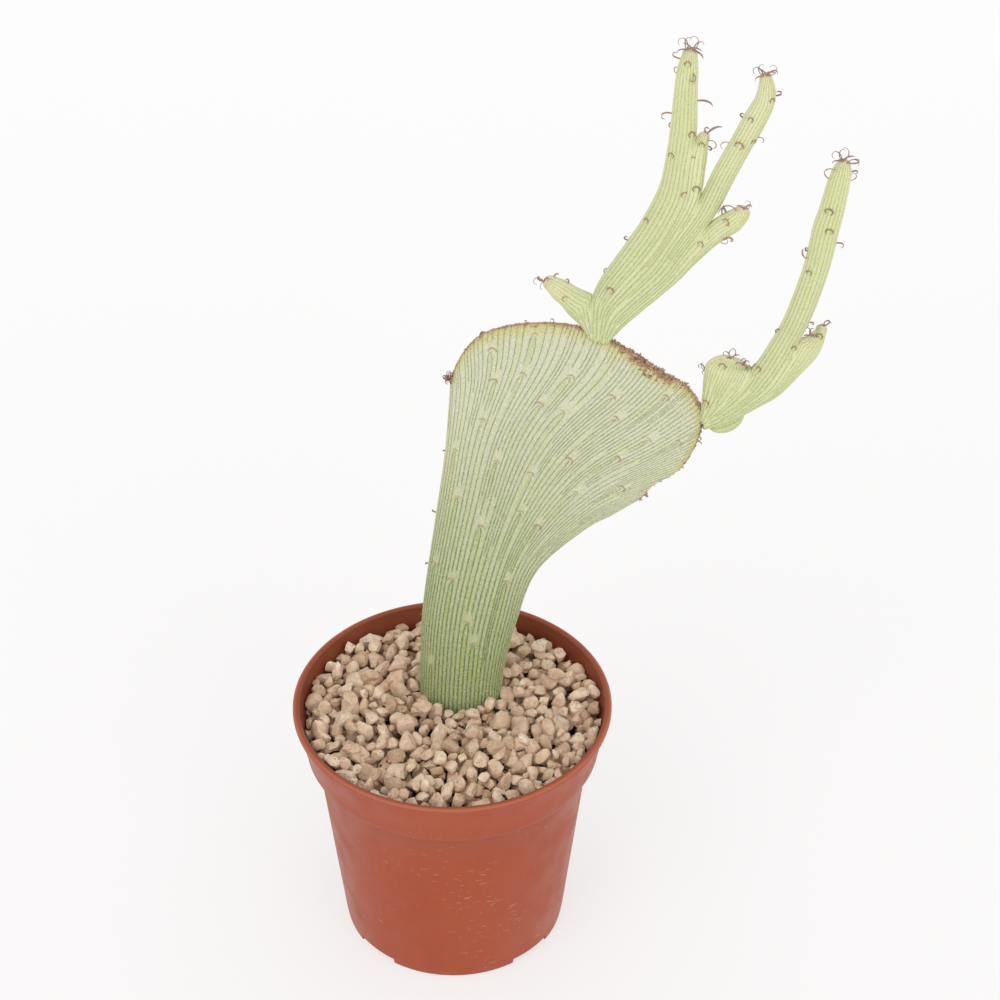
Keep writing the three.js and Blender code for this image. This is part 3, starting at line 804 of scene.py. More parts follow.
@dataclass
class GravelTopping:
    """Pumice stones dropped one by one onto the soil until they lie just under the rim.

    Attributes:
        bore: Inner radius of the pot at the ground and at the fill level.
        ground: Level of the soil under them.
        fill: Level that the tops of the stones reach.
        stem: Where the stem stands: across, back, half its width and half its depth.
        stem_turn: The stem's turn about the upright, in radians.
        loose: Names of the nodes that are single stones.
        grain: The usual stone's radius, and the smallest and the largest.
        tries: Places that each stone may choose from.
        most: The greatest number of stones.
    """

    bore: tuple[float, float]
    ground: float
    fill: float
    stem: tuple[float, float, float, float]
    stem_turn: float
    loose: list[str]
    grain: tuple[float, float, float] = (2.15, 1.3, 4.0)
    tries: int = 10
    most: int = 2350

    def bore_at(self, level: Array) -> Array:
        """Gives the pot's inner radius at levels."""
        share = (level - self.ground) / (self.fill - self.ground)
        return self.bore[0] + (self.bore[1] - self.bore[0]) * np.clip(share, 0, 1)

    def clear_of_stem(self, east: Array, north: Array, size: float) -> Array:
        """Tells which places leave room between a stone and the stem."""
        east, north = east - self.stem[0], north - self.stem[1]
        turn_cos, turn_sin = math.cos(self.stem_turn), math.sin(self.stem_turn)
        along = east * turn_cos + north * turn_sin
        through = -east * turn_sin + north * turn_cos
        return (along / (self.stem[2] + size * 0.6)) ** 2 + (through / (self.stem[3] + size * 0.6)) ** 2 > 1

    def drop(self) -> Array:
        """Drops the stones and returns their rows of (east, north, level, radius)."""
        dice = np.random.default_rng(21)
        lying = np.zeros((0, 4))
        high = 0
        while len(lying) < self.most and high < 60:
            size = float(np.clip(dice.lognormal(math.log(self.grain[0]), 0.28), *self.grain[1:]))
            spread = np.sqrt(dice.uniform(0, 1, self.tries)) * (self.bore[1] - size)
            turn = dice.uniform(0, 2 * math.pi, self.tries)
            east, north = spread * np.cos(turn), spread * np.sin(turn)
            free = self.clear_of_stem(east, north, size)
            east, north = east[free], north[free]
            if not len(east):
                continue
            level = np.full(len(east), self.ground + size * 0.5)
            if len(lying):
                reach = (lying[:, 3] + size) * 0.92
                away = np.hypot(east[:, None] - lying[:, 0], north[:, None] - lying[:, 1])
                rest = lying[:, 2] + np.sqrt(np.maximum(reach**2 - away**2, 0))
                level = np.maximum(level, np.where(away < reach, rest, -1e9).max(1))
            mound = 0.6 * (1 - (np.hypot(east, north) / self.bore[1]) ** 2)
            lowest = int(np.argmin(level - mound))
            if level[lowest] + size * 0.6 - mound[lowest] > self.fill:
                high += 1
                continue
            lying = np.vstack([lying, (east[lowest], north[lowest], level[lowest], size)])
        return lying

    def build(self) -> None:
        """Lays all the stones."""
        look = PumiceFinish().make()
        dice = np.random.default_rng(33)
        patterns = [StonePattern(index).build() for index in range(14)]
        detailed = [StonePattern(index, fineness=4).build() for index in range(6)]
        lying = self.drop()
        stones, tints = [], []
        for row, (east, north, level, size) in enumerate(lying):
            pattern = patterns[dice.integers(len(patterns))]
            stones.append(self.lay(pattern, f"stone_{row}", Vector((east, north, level)), size, dice))
        bed = join("pumice_gravel", stones)
        self.hold_inside(bed)
        self.tint(bed, dice, len(patterns[0].data.vertices))
        soften(bed, 32)
        finished(bed, look, ["gravel_bed"])
        for index, node in enumerate(self.loose):
            low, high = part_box(node)
            middle = (low + high) / 2 / MM
            size = (high.x - low.x) / 2 / MM
            middle.z = self.top_at(lying, middle.x, middle.y, size)
            pattern = detailed[index % len(detailed)]
            stone = self.lay(pattern, f"pumice_{node}", middle, size, dice)
            self.hold_inside(stone)
            self.tint(stone, dice, len(stone.data.vertices))
            soften(stone, 60)
            finished(stone, look, [node])
        remove(patterns + detailed)

    def hold_inside(self, piece: Piece) -> None:
        """Presses points that would touch the pot's wall back inside it."""
        place = points_of(piece) / MM
        away = np.hypot(place[:, 0], place[:, 1])
        most = self.bore_at(place[:, 2]) - 0.15
        place[:, :2] *= np.minimum(1, most / np.maximum(away, 1e-6))[:, None]
        move_points(piece, place * MM)

    def top_at(self, lying: Array, east: float, north: float, size: float) -> float:
        """Gives the level at which a stone comes to rest on the others."""
        reach = (lying[:, 3] + size) * 0.74
        away = np.hypot(lying[:, 0] - east, lying[:, 1] - north)
        rest = lying[:, 2] + np.sqrt(np.maximum(reach**2 - away**2, 0))
        return float(np.where(away < reach, rest, 0).max())

    def lay(self, pattern: Piece, name: str, middle: Vector, size: float, dice: Dice) -> Piece:
        """Copies a stone to a place, with a random turn."""
        turned = any_turn(dice)
        return copies_of(pattern, name, Matrix.Translation(middle * MM) @ turned @ Matrix.Scale(size * MM, 4))

    def tint(self, piece: Piece, dice: Dice, points: int) -> None:
        """Stores one random tint for each stone of a piece, whose stones have the same number of points."""
        count = len(piece.data.vertices) // points
        set_marks(piece, {"tint": np.repeat(dice.uniform(0, 1, count), points)})


@dataclass
class SoilCrumbs:
    """Crumbs of dark soil that show between the stones."""

    heaps: tuple[tuple[float, float, float, int], ...] = (
        (29.0, 44.0, 7.0, 46),
        (20.0, -50.0, 6.0, 60),
        (-6.0, -6.0, 30.0, 60),
        (30.0, 10.0, 14.0, 20),
    )
    level: float = 96.2

    def build(self) -> Piece:
        """Scatters the crumbs in heaps of (east, north, spread, count)."""
        dice = np.random.default_rng(5)
        patterns = [StonePattern(30 + index, cuts=5).build() for index in range(5)]
        crumbs = []
        for east, north, spread, count in self.heaps:
            for index in range(count):
                offset = dice.normal(0, spread / 2, 2)
                place = Vector((east + offset[0], north + offset[1], self.level + dice.uniform(-1.5, 1.2)))
                away = math.hypot(place.x, place.y)
                if away > 55.0:
                    place *= 55.0 / away
                    place.z = self.level
                turned = any_turn(dice)
                size = Matrix.Scale(dice.uniform(0.4, 1.3) * MM, 4)
                matrix = Matrix.Translation(place * MM) @ turned @ size
                crumbs.append(copies_of(patterns[index % 5], f"crumb_{len(crumbs)}", matrix))
        piece = join("soil_crumbs", crumbs)
        remove(patterns)
        look = EarthFinish("soil_crumbs", screen(58, 38, 26), screen(98, 68, 48), 900, 0.3 * MM).make()
        finished(piece, look, [])
        return piece


# ---- the plant


@dataclass(frozen=True)
class PlantFrame:
    """Where the plant stands: the foot of its fan and the fan's turn and lean."""

    foot: tuple[float, float, float] = (3.0, 13.0, 97.0)
    turn: float = math.radians(-8)
    lean: float = math.radians(-5)

    def matrix(self) -> Matrix:
        """Gives the turn from plant axes (across, through, up) to the row's axes, without the shift."""
        return Matrix.Rotation(self.turn, 3, "Z") @ Matrix.Rotation(self.lean, 3, "X")

    def placed(self, points: Array) -> Array:
        """Turns plant points in millimetres into positions in metres."""
        return (points @ np.array(self.matrix()).T + np.array(self.foot)) * MM


PLANT = PlantFrame()


@dataclass(frozen=True)
class LineRule:
    """How the fine lines of a stem branch as the stem widens.

    Attributes:
        columns: Grid columns from one possible line to the next.
        always: Every so many possible lines, one runs the whole way.
        low_gap: Widest gap between lines on old skin, in millimetres.
        high_gap: The same on young skin.
        depth: Depth of the grooves on old and on young skin.
        half_width: Half the width of the grooves on old and on young skin.
        unevenness: How much the start of a line varies.
    """

    columns: int
    always: int
    low_gap: float
    high_gap: float
    depth: tuple[float, float]
    half_width: tuple[float, float]
    unevenness: float = 0.16

    def presence(self, run: Array, rise: Array, dice: Dice, finer: float = 0.0) -> Array:
        """Tells how far each possible line is open at each row.

        Args:
            run: Distance across the skin at each row and column.
            rise: How young the skin is at each row, from 0 to 1.
            dice: Random numbers.
            finer: How much closer the lines lie towards the right, where the skin is young.

        Returns:
            One number from 0 to 1 for each row and possible line.
        """
        at = run[:, :: self.columns]
        count = at.shape[1] - 1
        present = np.zeros_like(at)
        present[:, :: self.always] = 1
        even_gap = self.low_gap + (self.high_gap - self.low_gap) * rise
        step = self.always
        while step > 1:
            half = step // 2
            for line in range(half, count, step):
                before, beyond = line - half, min(line + half, count)
                gap = even_gap * (1 - finer * rise * smooth(np.array(line / count), 0.45, 0.75))
                wanted = (at[:, beyond] - at[:, before]) / (gap * (1 + self.unevenness * dice.uniform(-1, 1)))
                opened = np.clip((np.maximum.accumulate(wanted) - 1) / 0.10, 0, 1)
                present[:, line] = opened * np.minimum(present[:, before], present[:, beyond])
            step = half
        return present

    def distance(self, run: Array, present: Array, reach: float = 3.0) -> Array:
        """Gives the distance from each point to the nearest open line."""
        at = run[:, :: self.columns]
        gap = np.abs(run[:, :, None] - at[:, None, :]) + (1 - present[:, None, :]) * reach
        return gap.min(2)

    def groove(self, gap: Array, rise: Array) -> Array:
        """Gives how deep the skin is pressed in at a distance from a line."""
        share = rise if rise.ndim == 2 else rise[:, None]
        depth = self.depth[0] + (self.depth[1] - self.depth[0]) * share
        half = self.half_width[0] + (self.half_width[1] - self.half_width[0]) * share
        return depth * np.exp(-((gap / half) ** 2))


def skin_marks(points: Array, gap: Array, rise: Array, strand: Array, rim: Array) -> dict[str, Array]:
    """Gives the marks that every lined skin carries, spread over all its points."""
    marks = {"line_gap": gap, "rise": rise, "strand": strand, "along": run_along(points), "rim": rim}
    return {name: np.broadcast_to(mark, points.shape[:2]) for name, mark in marks.items()}


@dataclass(frozen=True)
class Skin:
    """A finished side of the fan or a finger, from which leaves and scars read their places."""

    points: Array
    normals: Array


def nearest(points: Array, across: float, up: float) -> tuple[int, int]:
    """Gives the row and column of a net that lie nearest to a place on the fan."""
    away = np.hypot(points[:, :, 0] - across, points[:, :, 2] - up)
    row, column = np.unravel_index(int(np.argmin(away)), away.shape)
    return int(row), int(column)


FAN_ROWS = (
    ((-15.6, -16.0), (15.2, -16.0)),
    ((-15.6, 10.0), (16.2, 10.0)),
    ((-14.4, 40.0), (4.0, 41.0), (21.2, 36.0)),
    ((-9.6, 80.0), (8.0, 84.0), (20.0, 76.0), (28.5, 59.0)),
    ((-6.4, 106.0), (4.0, 114.0), (20.0, 119.0), (36.0, 112.0), (46.0, 98.0), (45.0, 78.0)),
    (
        (-5.0, 126.0), (4.0, 138.0), (17.0, 146.0), (33.0, 148.0), (50.0, 143.0), (64.0, 132.0),
        (70.0, 116.0), (64.0, 101.0), (55.5, 86.0),
    ),
    (
        (-4.4, 137.0), (-0.8, 147.0), (6.0, 156.5), (17.0, 162.0), (30.0, 164.0), (41.0, 162.5),
        (51.0, 158.3), (60.0, 153.5), (71.0, 146.3), (80.0, 141.3), (86.0, 131.0), (84.2, 119.0),
        (79.0, 108.0), (71.0, 101.5), (65.0, 93.4),
    ),
)
FAN_PLACES = (0.0, 0.115, 0.29, 0.5, 0.68, 0.86, 1.0)
FAN_LEANS = (0.0, 0.0, 0.02, 0.075, 0.12, 0.105, 0.11)
FAN_SCARS = (
    (11, 153), (26, 160), (22, 144), (12, 140), (39, 144), (53, 136), (73, 138), (28, 132), (36, 129),
    (8, 124), (55, 128), (-2, 110), (67, 120), (78, 119), (39, 110), (57, 112), (13, 106), (25, 102),
    (41, 96), (58, 99), (-1, 90), (22, 86), (8, 79), (29, 81), (-10, 60), (-3, 55), (18, 56), (3, 38),
    (6, 27), (-10, 15),
)


@dataclass
class CrestedStem:
    """The fan: a flat stem that widens from the soil to a long curved growing rim.

    Attributes:
        intervals: Possible line intervals on each side.
        rows: Rows from the soil to the rim, without those of the rounded rim.
        depth: Half the stem's thickness near the soil, halfway up and at the rim.
        rim_round: How far below the rim the section starts to close.
        leans: How far the lines lean towards the near corner, at each guide row.
    """

    intervals: int = 224
    rows: int = 98
    depth: tuple[float, float, float, float] = (9.5, 8.0, 4.4, 2.3)
    rim_round: float = 2.6
    leans: tuple = FAN_LEANS
    rule: LineRule = LineRule(2, 8, 2.0, 2.8, (0.17, 0.10), (0.32, 0.26), 0.34)
    scars: tuple = FAN_SCARS
    front: Skin | None = None
    places: Array | None = None

    def outline(self) -> tuple[Array, Array]:
        """Gives the flat net of the fan (rows, columns, across and up) and the share of each row's width."""
        shares = np.linspace(0, 1, 601)
        bow = np.sin(math.pi * shares)
        guides = [evenly(np.array(row), shares - lean * bow) for row, lean in zip(FAN_ROWS, self.leans)]
        rounding = 1 - 0.022 * np.cos(np.linspace(0.15, 1, 12) * math.pi / 2)
        climb = np.concatenate([np.linspace(0, 0.975, self.rows), rounding])
        self.places = climb
        knots = np.interp(climb, FAN_PLACES, np.arange(len(FAN_ROWS)))
        net = through_points(np.array(guides), knots)
        columns = np.linspace(0, 1, self.intervals * self.rule.columns + 1)
        round_share = np.interp(climb, (0, 0.3, 0.6, 1), (0.85, 0.7, 0.35, 0.12))[:, None]
        width = (1 - round_share) * columns + round_share * (1 - np.cos(math.pi * columns)) / 2
        flat = np.empty((len(climb), len(columns), 2))
        for row in range(len(climb)):
            for axis in range(2):
                flat[row, :, axis] = np.interp(width[row], shares, net[row, :, axis])
        return flat, width

    def thickness(self, flat: Array, width: Array) -> Array:
        """Gives half the thickness at each point of the net."""
        climb = self.places
        middle = np.interp(climb, (0, 0.25, 0.62, 1), self.depth)
        boxy = np.interp(climb, (0, 0.3, 0.6, 1), (2.1, 2.6, 5.0, 9.0))[:, None]
        section = np.sqrt(np.maximum(1 - np.abs(2 * width - 1) ** boxy, 0))
        rest = run_along(flat)
        rest = rest[-1:] - rest
        closing = np.clip(rest / self.rim_round, 0, 1)
        section *= np.sqrt(np.maximum(1 - (1 - closing) ** 2, 0))
        half = middle[:, None] * section
        half[0] = 0
        return half

    def wave(self, flat: Array) -> Array:
        """Gives the slow swell of the whole sheet, from front to back."""
        across, up = flat[:, :, 0], flat[:, :, 1]
        high = smooth(up, 30, 130)
        swell = 1.3 * np.sin(across / 17.0 + 0.8) * np.sin(up / 31.0) + 0.6 * np.sin(across / 8.0 - up / 15.0)
        return swell * high

    def draw_tongues(self, points: Array, run: Array, present: Array, marks: dict[str, Array]) -> None:
        """Bends the lines together at each scar and marks the tongue below it and the bloom above it."""
        step = self.rule.columns
        plan = points.copy()
        for across, up in self.scars:
            row, column = nearest(plan, across, up)
            if row < 4 or row > len(plan) - 4:
                continue
            open_lines = [line for line in range(1, self.intervals) if present[row, line] > 0.5]
            middles = [(a + b) / 2 * step for a, b in zip(open_lines, open_lines[1:])]
            if not middles:
                continue
            pick_line = int(np.argmin([abs(middle - column) for middle in middles]))
            left, right = open_lines[pick_line], open_lines[pick_line + 1]
            centre = int(round((left + right) / 2 * step))
            half = (run[:, right * step] - run[:, left * step]) / 2
            climb = run_along(plan[:, centre, :])
            climb -= climb[row]
            beside = run - run[:, centre : centre + 1]
            arch = np.where(climb < 0, np.sqrt(np.clip(1 - ((climb + 5.5) / 5.5) ** 2, 0, 1)), 0)
            narrow = np.where(climb < -5.5, 0, 0.78 - 0.78 * arch)
            narrow = np.where(climb > 0, 0.78 * (1 - smooth(climb, 0, 4)), narrow)
            pull = narrow[:, None] * np.exp(-((beside / (1.6 * half[:, None])) ** 4)) * beside
            slide = np.gradient(plan, axis=1)
            slide /= np.maximum(np.linalg.norm(slide, axis=-1, keepdims=True), 1e-6)
            points -= slide * pull[:, :, None]
            shut = smooth(climb, 0.5, 1.0) * (1 - smooth(climb, 2.2, 4.5))
            for line in (left, right):
                present[:, line] *= 1 - shut
            for line in range(left + 1, right):
                present[:, line] *= 1 - smooth(climb, -12, -9) * (1 - smooth(climb, 3, 5))
            inside = np.exp(-((beside / (half[:, None] * 0.82)) ** 6))
            marks["tongue"] += inside * (smooth(climb, -26, -2) * (1 - smooth(climb, -0.6, 0.8)))[:, None]
            halo = np.exp(-((beside / (half[:, None] * 1.2)) ** 2))
            marks["bloom"] += halo * (smooth(climb, -1, 0.8) * (1 - smooth(climb, 0.8, 9)))[:, None]

    def side(self, flat: Array, half: Array, wave: Array, facing: int) -> tuple[Array, dict]:
        """Makes one side of the fan.

        Args:
            flat: The flat net of the fan.
            half: Half the thickness.
            wave: The swell of the sheet.
            facing: -1 for the front, 1 for the back.

        Returns:
            The side's points and its marks.
        """
        dice = np.random.default_rng(100 + facing)
        points = np.stack([flat[:, :, 0], wave + facing * half, flat[:, :, 1]], -1)
        run = run_along(points, axis=1)
        rise = smooth(self.places, 0.08, 0.9)
        present = self.rule.presence(run, rise, dice, 0.34)
        present[:, 0] = present[:, -1] = 0
        marks = {"tongue": np.zeros_like(run), "bloom": np.zeros_like(run)}
        self.draw_tongues(points, run, present, marks)
        for name in marks:
            marks[name] = np.clip(marks[name], 0, 1)
        gap = self.rule.distance(run_along(points, axis=1), present)
        press = self.rule.groove(gap, rise) - 0.06 * smooth(gap, 0.1, 0.8)
        border = np.minimum(np.minimum(run, run[:, -1:] - run) / 1.2, 1)
        from_foot = np.linspace(0, len(points) / 4, len(points))
        end = np.minimum(from_foot, from_foot[::-1])
        press *= border * np.clip(end, 0, 1)[:, None]
        normals = outward(points) * (1 if facing < 0 else -1)
        points = points - normals * press[:, :, None]
        rest = run_along(flat)
        rest = rest[-1:] - rest
        lines = np.arange(run.shape[1]) / self.rule.columns
        warm = 0.55 * (1 - smooth(run, 0.5, 4.5)) + 0.35 * (1 - smooth(run[:, -1:] - run, 0.5, 3.5))
        warm *= smooth(self.places, 0.2, 0.5)[:, None]
        rim = np.clip((1 - smooth(rest, 0.8, 5.5)) + warm, 0, 1)
        marks |= skin_marks(points, gap, rise[:, None], lines + 300 * (facing + 1), rim)
        if facing < 0:
            self.front = Skin(points, normals)
        return points, marks

    def build(self) -> Piece:
        """Makes the fan."""
        flat, width = self.outline()
        half, wave = self.thickness(flat, width), self.wave(flat)
        front, front_marks = self.side(flat, half, wave, -1)
        back, back_marks = self.side(flat, half, wave, 1)
        points = np.concatenate([front, back[:, ::-1]], 1)
        marks = {}
        for name, mark in front_marks.items():
            marks[name] = np.concatenate([mark, back_marks[name][:, ::-1]], 1)
        fan = weld(sheet("crested_fan", PLANT.placed(points), marks))
        soften(fan)
        finished(fan, FAN_LOOK.make(), ["crest_stem"])
        return fan


FAN_LOOK = StemFinish(
    "green_stem",
    low=screen(168, 178, 122),
    high=screen(208, 209, 181),
    line=screen(74, 100, 34),
    high_line=screen(120, 132, 84),
    rim=screen(206, 194, 124),
    line_width=0.23,
    line_strength=0.9,
    stripe=0.34,
)
BRANCH_LOOK = StemFinish(
    "green_branch",
    low=screen(206, 213, 160),
    high=screen(232, 230, 178),
    line=screen(150, 164, 100),
    high_line=screen(180, 184, 122),
    rim=screen(228, 208, 190),
    line_width=0.24,
    line_strength=0.75,
    stripe=0.4,
)


@dataclass(frozen=True)
class Finger:
    """One finger of a branch.

    Attributes:
        name: What the finger is called.
        stations: (across, through, up, half width) from the neck to the tip.
        strands: Possible line intervals across it, a power of two.
        pace: (level, station) pairs that line the finger up with its neighbours.
        thinning: How much thinner it gets towards its tip, from 0 to 1.
    """

    name: str
    stations: tuple[tuple[float, float, float, float], ...]
    strands: int
    pace: tuple[tuple[float, float], ...]
    thinning: float = 0.0

    def middle(self, levels: Array) -> tuple[Array, Array, Array]:
        """Gives the middle line, its unit direction (across, up) and the half width at levels."""
        table = np.array(self.stations)
        steps, stations = np.array(self.pace).T
        places = np.interp(levels, steps, stations)
        places = np.where(levels < 0, levels, places)
        last = len(table) - 1
        centre = through_points(table[:, :3], np.maximum(places, 0))
        ahead = through_points(table[:, :3], np.clip(places, 0, last - 0.02) + 0.02)
        behind = through_points(table[:, :3], np.clip(places, 0, last - 0.02))
        way = (ahead - behind)[:, [0, 2]]
        way /= np.maximum(np.linalg.norm(way, axis=1, keepdims=True), 1e-9)
        drop = np.minimum(places, 0)[:, None]
        centre[:, [0, 2]] += drop * way * 12
        wide = np.maximum(through_points(table[:-1, 3], np.clip(places, 0, last - 1)), 0)
        tip = np.clip(places - (last - 1), 0, 1)
        wide = wide * np.sqrt(np.maximum(1 - tip**2, 0))
        return centre, way, wide

    def last_level(self) -> float:
        """Gives the level of the tip."""
        return self.pace[-1][0]


@dataclass(frozen=True)
class Crotch:
    """Where two neighbouring fingers part."""

    level: float
    across: float
    up: float


class Edge(Enum):
    """The two edges of a finger."""

    LEFT = -1
    RIGHT = 1


@dataclass
class Branch:
    """A flat branch whose fingers share a trunk, like a glove.

    Attributes:
        name: The piece's name.
        fingers: The fingers from left to right.
        crotches: The partings between neighbouring fingers.
        half_depth: Half the trunk's thickness at the neck and above it.
        rule: How the lines branch.
        nodes: The nodes that the branch stands for.
        start: The first level, inside the fan's rim.
    """

    name: str
    fingers: tuple[Finger, ...]
    crotches: tuple[Crotch, ...]
    half_depth: tuple[float, float]
    nodes: list[str]
    rule: LineRule = LineRule(3, 8, 1.9, 1.55, (0.13, 0.10), (0.32, 0.28))
    start: float = -0.2
    skins: dict[str, dict[int, Skin]] = field(default_factory=dict)
    spans: dict[str, Array] = field(default_factory=dict)

    def crotch_beside(self, index: int, edge: Edge) -> Crotch | None:
        """Gives the parting at one edge of a finger, or None at the branch's outer edges."""
        place = index - 1 if edge is Edge.LEFT else index
        return self.crotches[place] if 0 <= place < len(self.crotches) else None

    def own_edge(self, index: int, edge: Edge, levels: Array) -> Array:
        """Gives a finger's own edge (across, up) at levels."""
        centre, way, wide = self.fingers[index].middle(levels)
        right = np.stack([way[:, 1], -way[:, 0]], 1)
        return centre[:, [0, 2]] + edge.value * right * wide[:, None]

    def edge(self, index: int, edge: Edge, levels: Array) -> Array:
        """Gives the edge that is built: the neighbour's too up to the parting, then the finger's own."""
        crotch = self.crotch_beside(index, edge)
        own = self.own_edge(index, edge, levels)
        if crotch is None:
            return own
        other = index + edge.value
        opposite = Edge.RIGHT if edge is Edge.LEFT else Edge.LEFT
        target = np.array([crotch.across, crotch.up])
        parting = np.array([crotch.level])
        shared = (own + self.own_edge(other, opposite, levels)) / 2
        miss = target - (self.own_edge(index, edge, parting) + self.own_edge(other, opposite, parting))[0] / 2
        shared = shared + miss * (np.clip(levels / crotch.level, 0, 1) ** 2)[:, None]
        own_miss = target - self.own_edge(index, edge, parting)[0]
        fade = np.maximum(1 - (levels - crotch.level) / 1.2, 0) ** 2
        free = own + own_miss * fade[:, None]
        return np.where((levels <= crotch.level + 1e-6)[:, None], shared, free)

    def trunk_depth(self, levels: Array) -> Array:
        """Gives half the trunk's thickness at levels."""
        low, high = self.half_depth
        neck = np.sqrt(smooth(levels, self.start - 1e-6, self.start + 0.12))
        return (low + (high - low) * smooth(levels, 0, 1.6)) * neck

    def levels(self, index: int) -> Array:
        """Gives the levels of a finger's rows."""
        finger = self.fingers[index]
        last = finger.last_level()
        body = last - 0.6
        count = int(round((body - self.start) / 0.1))
        rows = self.start + 0.1 * np.arange(count + 1)
        turn = np.linspace(0, math.pi / 2, 15)[1:]
        return np.concatenate([rows, rows[-1] + (last - rows[-1]) * np.sin(turn)])

    def finger_sheets(self, index: int) -> list[Piece]:
        """Makes the front and the back of a finger with its part of the trunk."""
        finger = self.fingers[index]
        levels = self.levels(index)
        left = self.edge(index, Edge.LEFT, levels)
        right = self.edge(index, Edge.RIGHT, levels)
        centre, _, wide = finger.middle(levels)
        shares = np.linspace(0, 1, finger.strands * self.rule.columns + 1)
        spread = 0.45 * (1 - np.cos(math.pi * shares)) / 2 + 0.55 * shares
        flat = left[:, None] * (1 - spread)[None, :, None] + right[:, None] * spread[None, :, None]
        trunk = self.trunk_depth(levels)
        squares, partings = [], []
        for edge in Edge:
            crotch = self.crotch_beside(index, edge)
            if crotch is None:
                squares.append(np.zeros_like(levels))
                continue
            partings.append(crotch.level)
            opened = smooth(levels, crotch.level - 0.5, crotch.level)
            squares.append(trunk**2 * np.where(levels >= crotch.level - 1e-6, 0, 1 - opened))
        alone_share = smooth(levels, max(partings) - 0.7, max(partings) + 0.9)
        half_width = np.linalg.norm(right - left, axis=1) / 2
        own = np.minimum(trunk, 0.86 * half_width)
        middle_depth = trunk * 0.97 + (own - trunk * 0.97) * alone_share
        middle_depth = np.minimum(middle_depth, np.where(levels > max(partings), 1.1 * half_width, 99))
        swell = np.maximum(middle_depth**2 - (squares[0] + squares[1]) / 2, 0)
        square = (
            squares[0][:, None] * (1 - spread)
            + squares[1][:, None] * spread
            + 4 * swell[:, None] * spread * (1 - spread)
        )
        half = np.sqrt(np.maximum(square, 0))
        last = finger.last_level()
        free = np.minimum(spread, 1 - spread) if squares[1].any() else 1 - spread
        thin = 1 - finger.thinning * smooth(levels, last - 1.9, last - 0.3)[:, None] * np.minimum(free * 8, 1)
        half *= thin
        half[0] = half[-1] = 0
        depths = self.shared_depth(index, levels, centre[:, 1])
        through = depths[0][:, None] * (1 - spread) + depths[1][:, None] * spread
        climb = run_along(centre)
        slim = min(1.0, 4.5 / max(station[3] for station in finger.stations))
        tip = slim * (1 - smooth(climb[-1] - climb, 0.2, 4.5))
        sides, all_marks = [], []
        for facing in (-1, 1):
            points = np.stack([flat[:, :, 0], through + facing * half, flat[:, :, 1]], -1)
            sides.append(self.lined(points, levels, tip, index, facing, all_marks))
        front = sheet(f"{self.name}_{finger.name}_front", PLANT.placed(sides[0]), all_marks[0])
        turned_marks = {name: mark[:, ::-1] for name, mark in all_marks[1].items()}
        back = sheet(f"{self.name}_{finger.name}_back", PLANT.placed(sides[1][:, ::-1]), turned_marks)
        return [front, back]

    def shared_depth(self, index: int, levels: Array, own: Array) -> list[Array]:
        """Gives how far back the sheet lies at a finger's two edges."""
        depths = []
        for edge in Edge:
            crotch = self.crotch_beside(index, edge)
            if crotch is None:
                depths.append(own)
                continue
            other = self.fingers[index + edge.value].middle(levels)[0][:, 1]
            joined = 0.5 * (1 - smooth(levels, crotch.level, crotch.level + 1.2))
            depths.append(own * (1 - joined) + other * joined)
        return depths

    def lined(self, points: Array, levels: Array, tip: Array, index: int, facing: int, marks: list) -> Array:
        """Presses the lines into one side of a finger and adds its marks to the list."""
        finger = self.fingers[index]
        dice = np.random.default_rng(40 * index + facing + 7)
        run = run_along(points, axis=1)
        rise = 0.25 + 0.6 * smooth(levels, 0, finger.last_level())
        present = self.rule.presence(run, rise, dice)
        for column, edge in zip((0, -1), Edge):
            crotch = self.crotch_beside(index, edge)
            present[:, column] = 0 if crotch is None else levels < crotch.level - 0.4
        present *= (1 - smooth(levels, finger.last_level() - 0.25, finger.last_level()))[:, None]
        gap = self.rule.distance(run, present)
        press = self.rule.groove(gap, rise) - 0.07 * smooth(gap, 0.1, 0.8)
        border = np.ones_like(run)
        for column, edge in zip((0, -1), Edge):
            border = np.minimum(border, np.clip(np.abs(run - run[:, [column]]) / 0.6, 0, 1))
        press *= border
        press[0] = press[-1] = 0
        normals = outward(points) * (1 if facing < 0 else -1)
        points = points - normals * press[:, :, None]
        self.skins.setdefault(finger.name, {})[facing] = Skin(points, normals)
        self.spans[finger.name] = levels
        lines = np.arange(run.shape[1]) / self.rule.columns
        strand = lines + 40 * index + 300 * (facing + 1)
        shared = skin_marks(points, gap, rise[:, None], strand, (tip**2)[:, None] * 0.8)
        marks.append(shared | {"tongue": np.zeros_like(run), "bloom": self.pale_edges(index, run, levels)})
        return points

    def pale_edges(self, index: int, run: Array, levels: Array) -> Array:
        """Gives the frosted paleness along a finger's free edges."""
        pale = np.zeros_like(run)
        for column, edge in zip((0, -1), Edge):
            crotch = self.crotch_beside(index, edge)
            free = np.ones_like(levels)
            if crotch is not None:
                free = smooth(levels, crotch.level - 0.3, crotch.level + 0.5)
            pale = np.maximum(pale, free[:, None] * np.exp(-((np.abs(run - run[:, [column]]) / 1.5) ** 2)))
        return pale

    def place(self, finger: str, level: float, across: float, facing: int = -1) -> tuple[Vector, Vector]:
        """Gives a point in plant millimetres on a finger, and the outward normal there.

        Args:
            finger: The finger's name.
            level: The level between the neck and the tip.
            across: The share of the width, from the left edge to the right.
            facing: -1 for the front, 1 for the back.

        Returns:
            The point and the normal.
        """
        row = int(np.argmin(np.abs(self.spans[finger] - level)))
        skin = self.skins[finger][facing]
        column = int(round(across * (skin.points.shape[1] - 1)))
        return Vector(skin.points[row, column]), Vector(skin.normals[row, column])

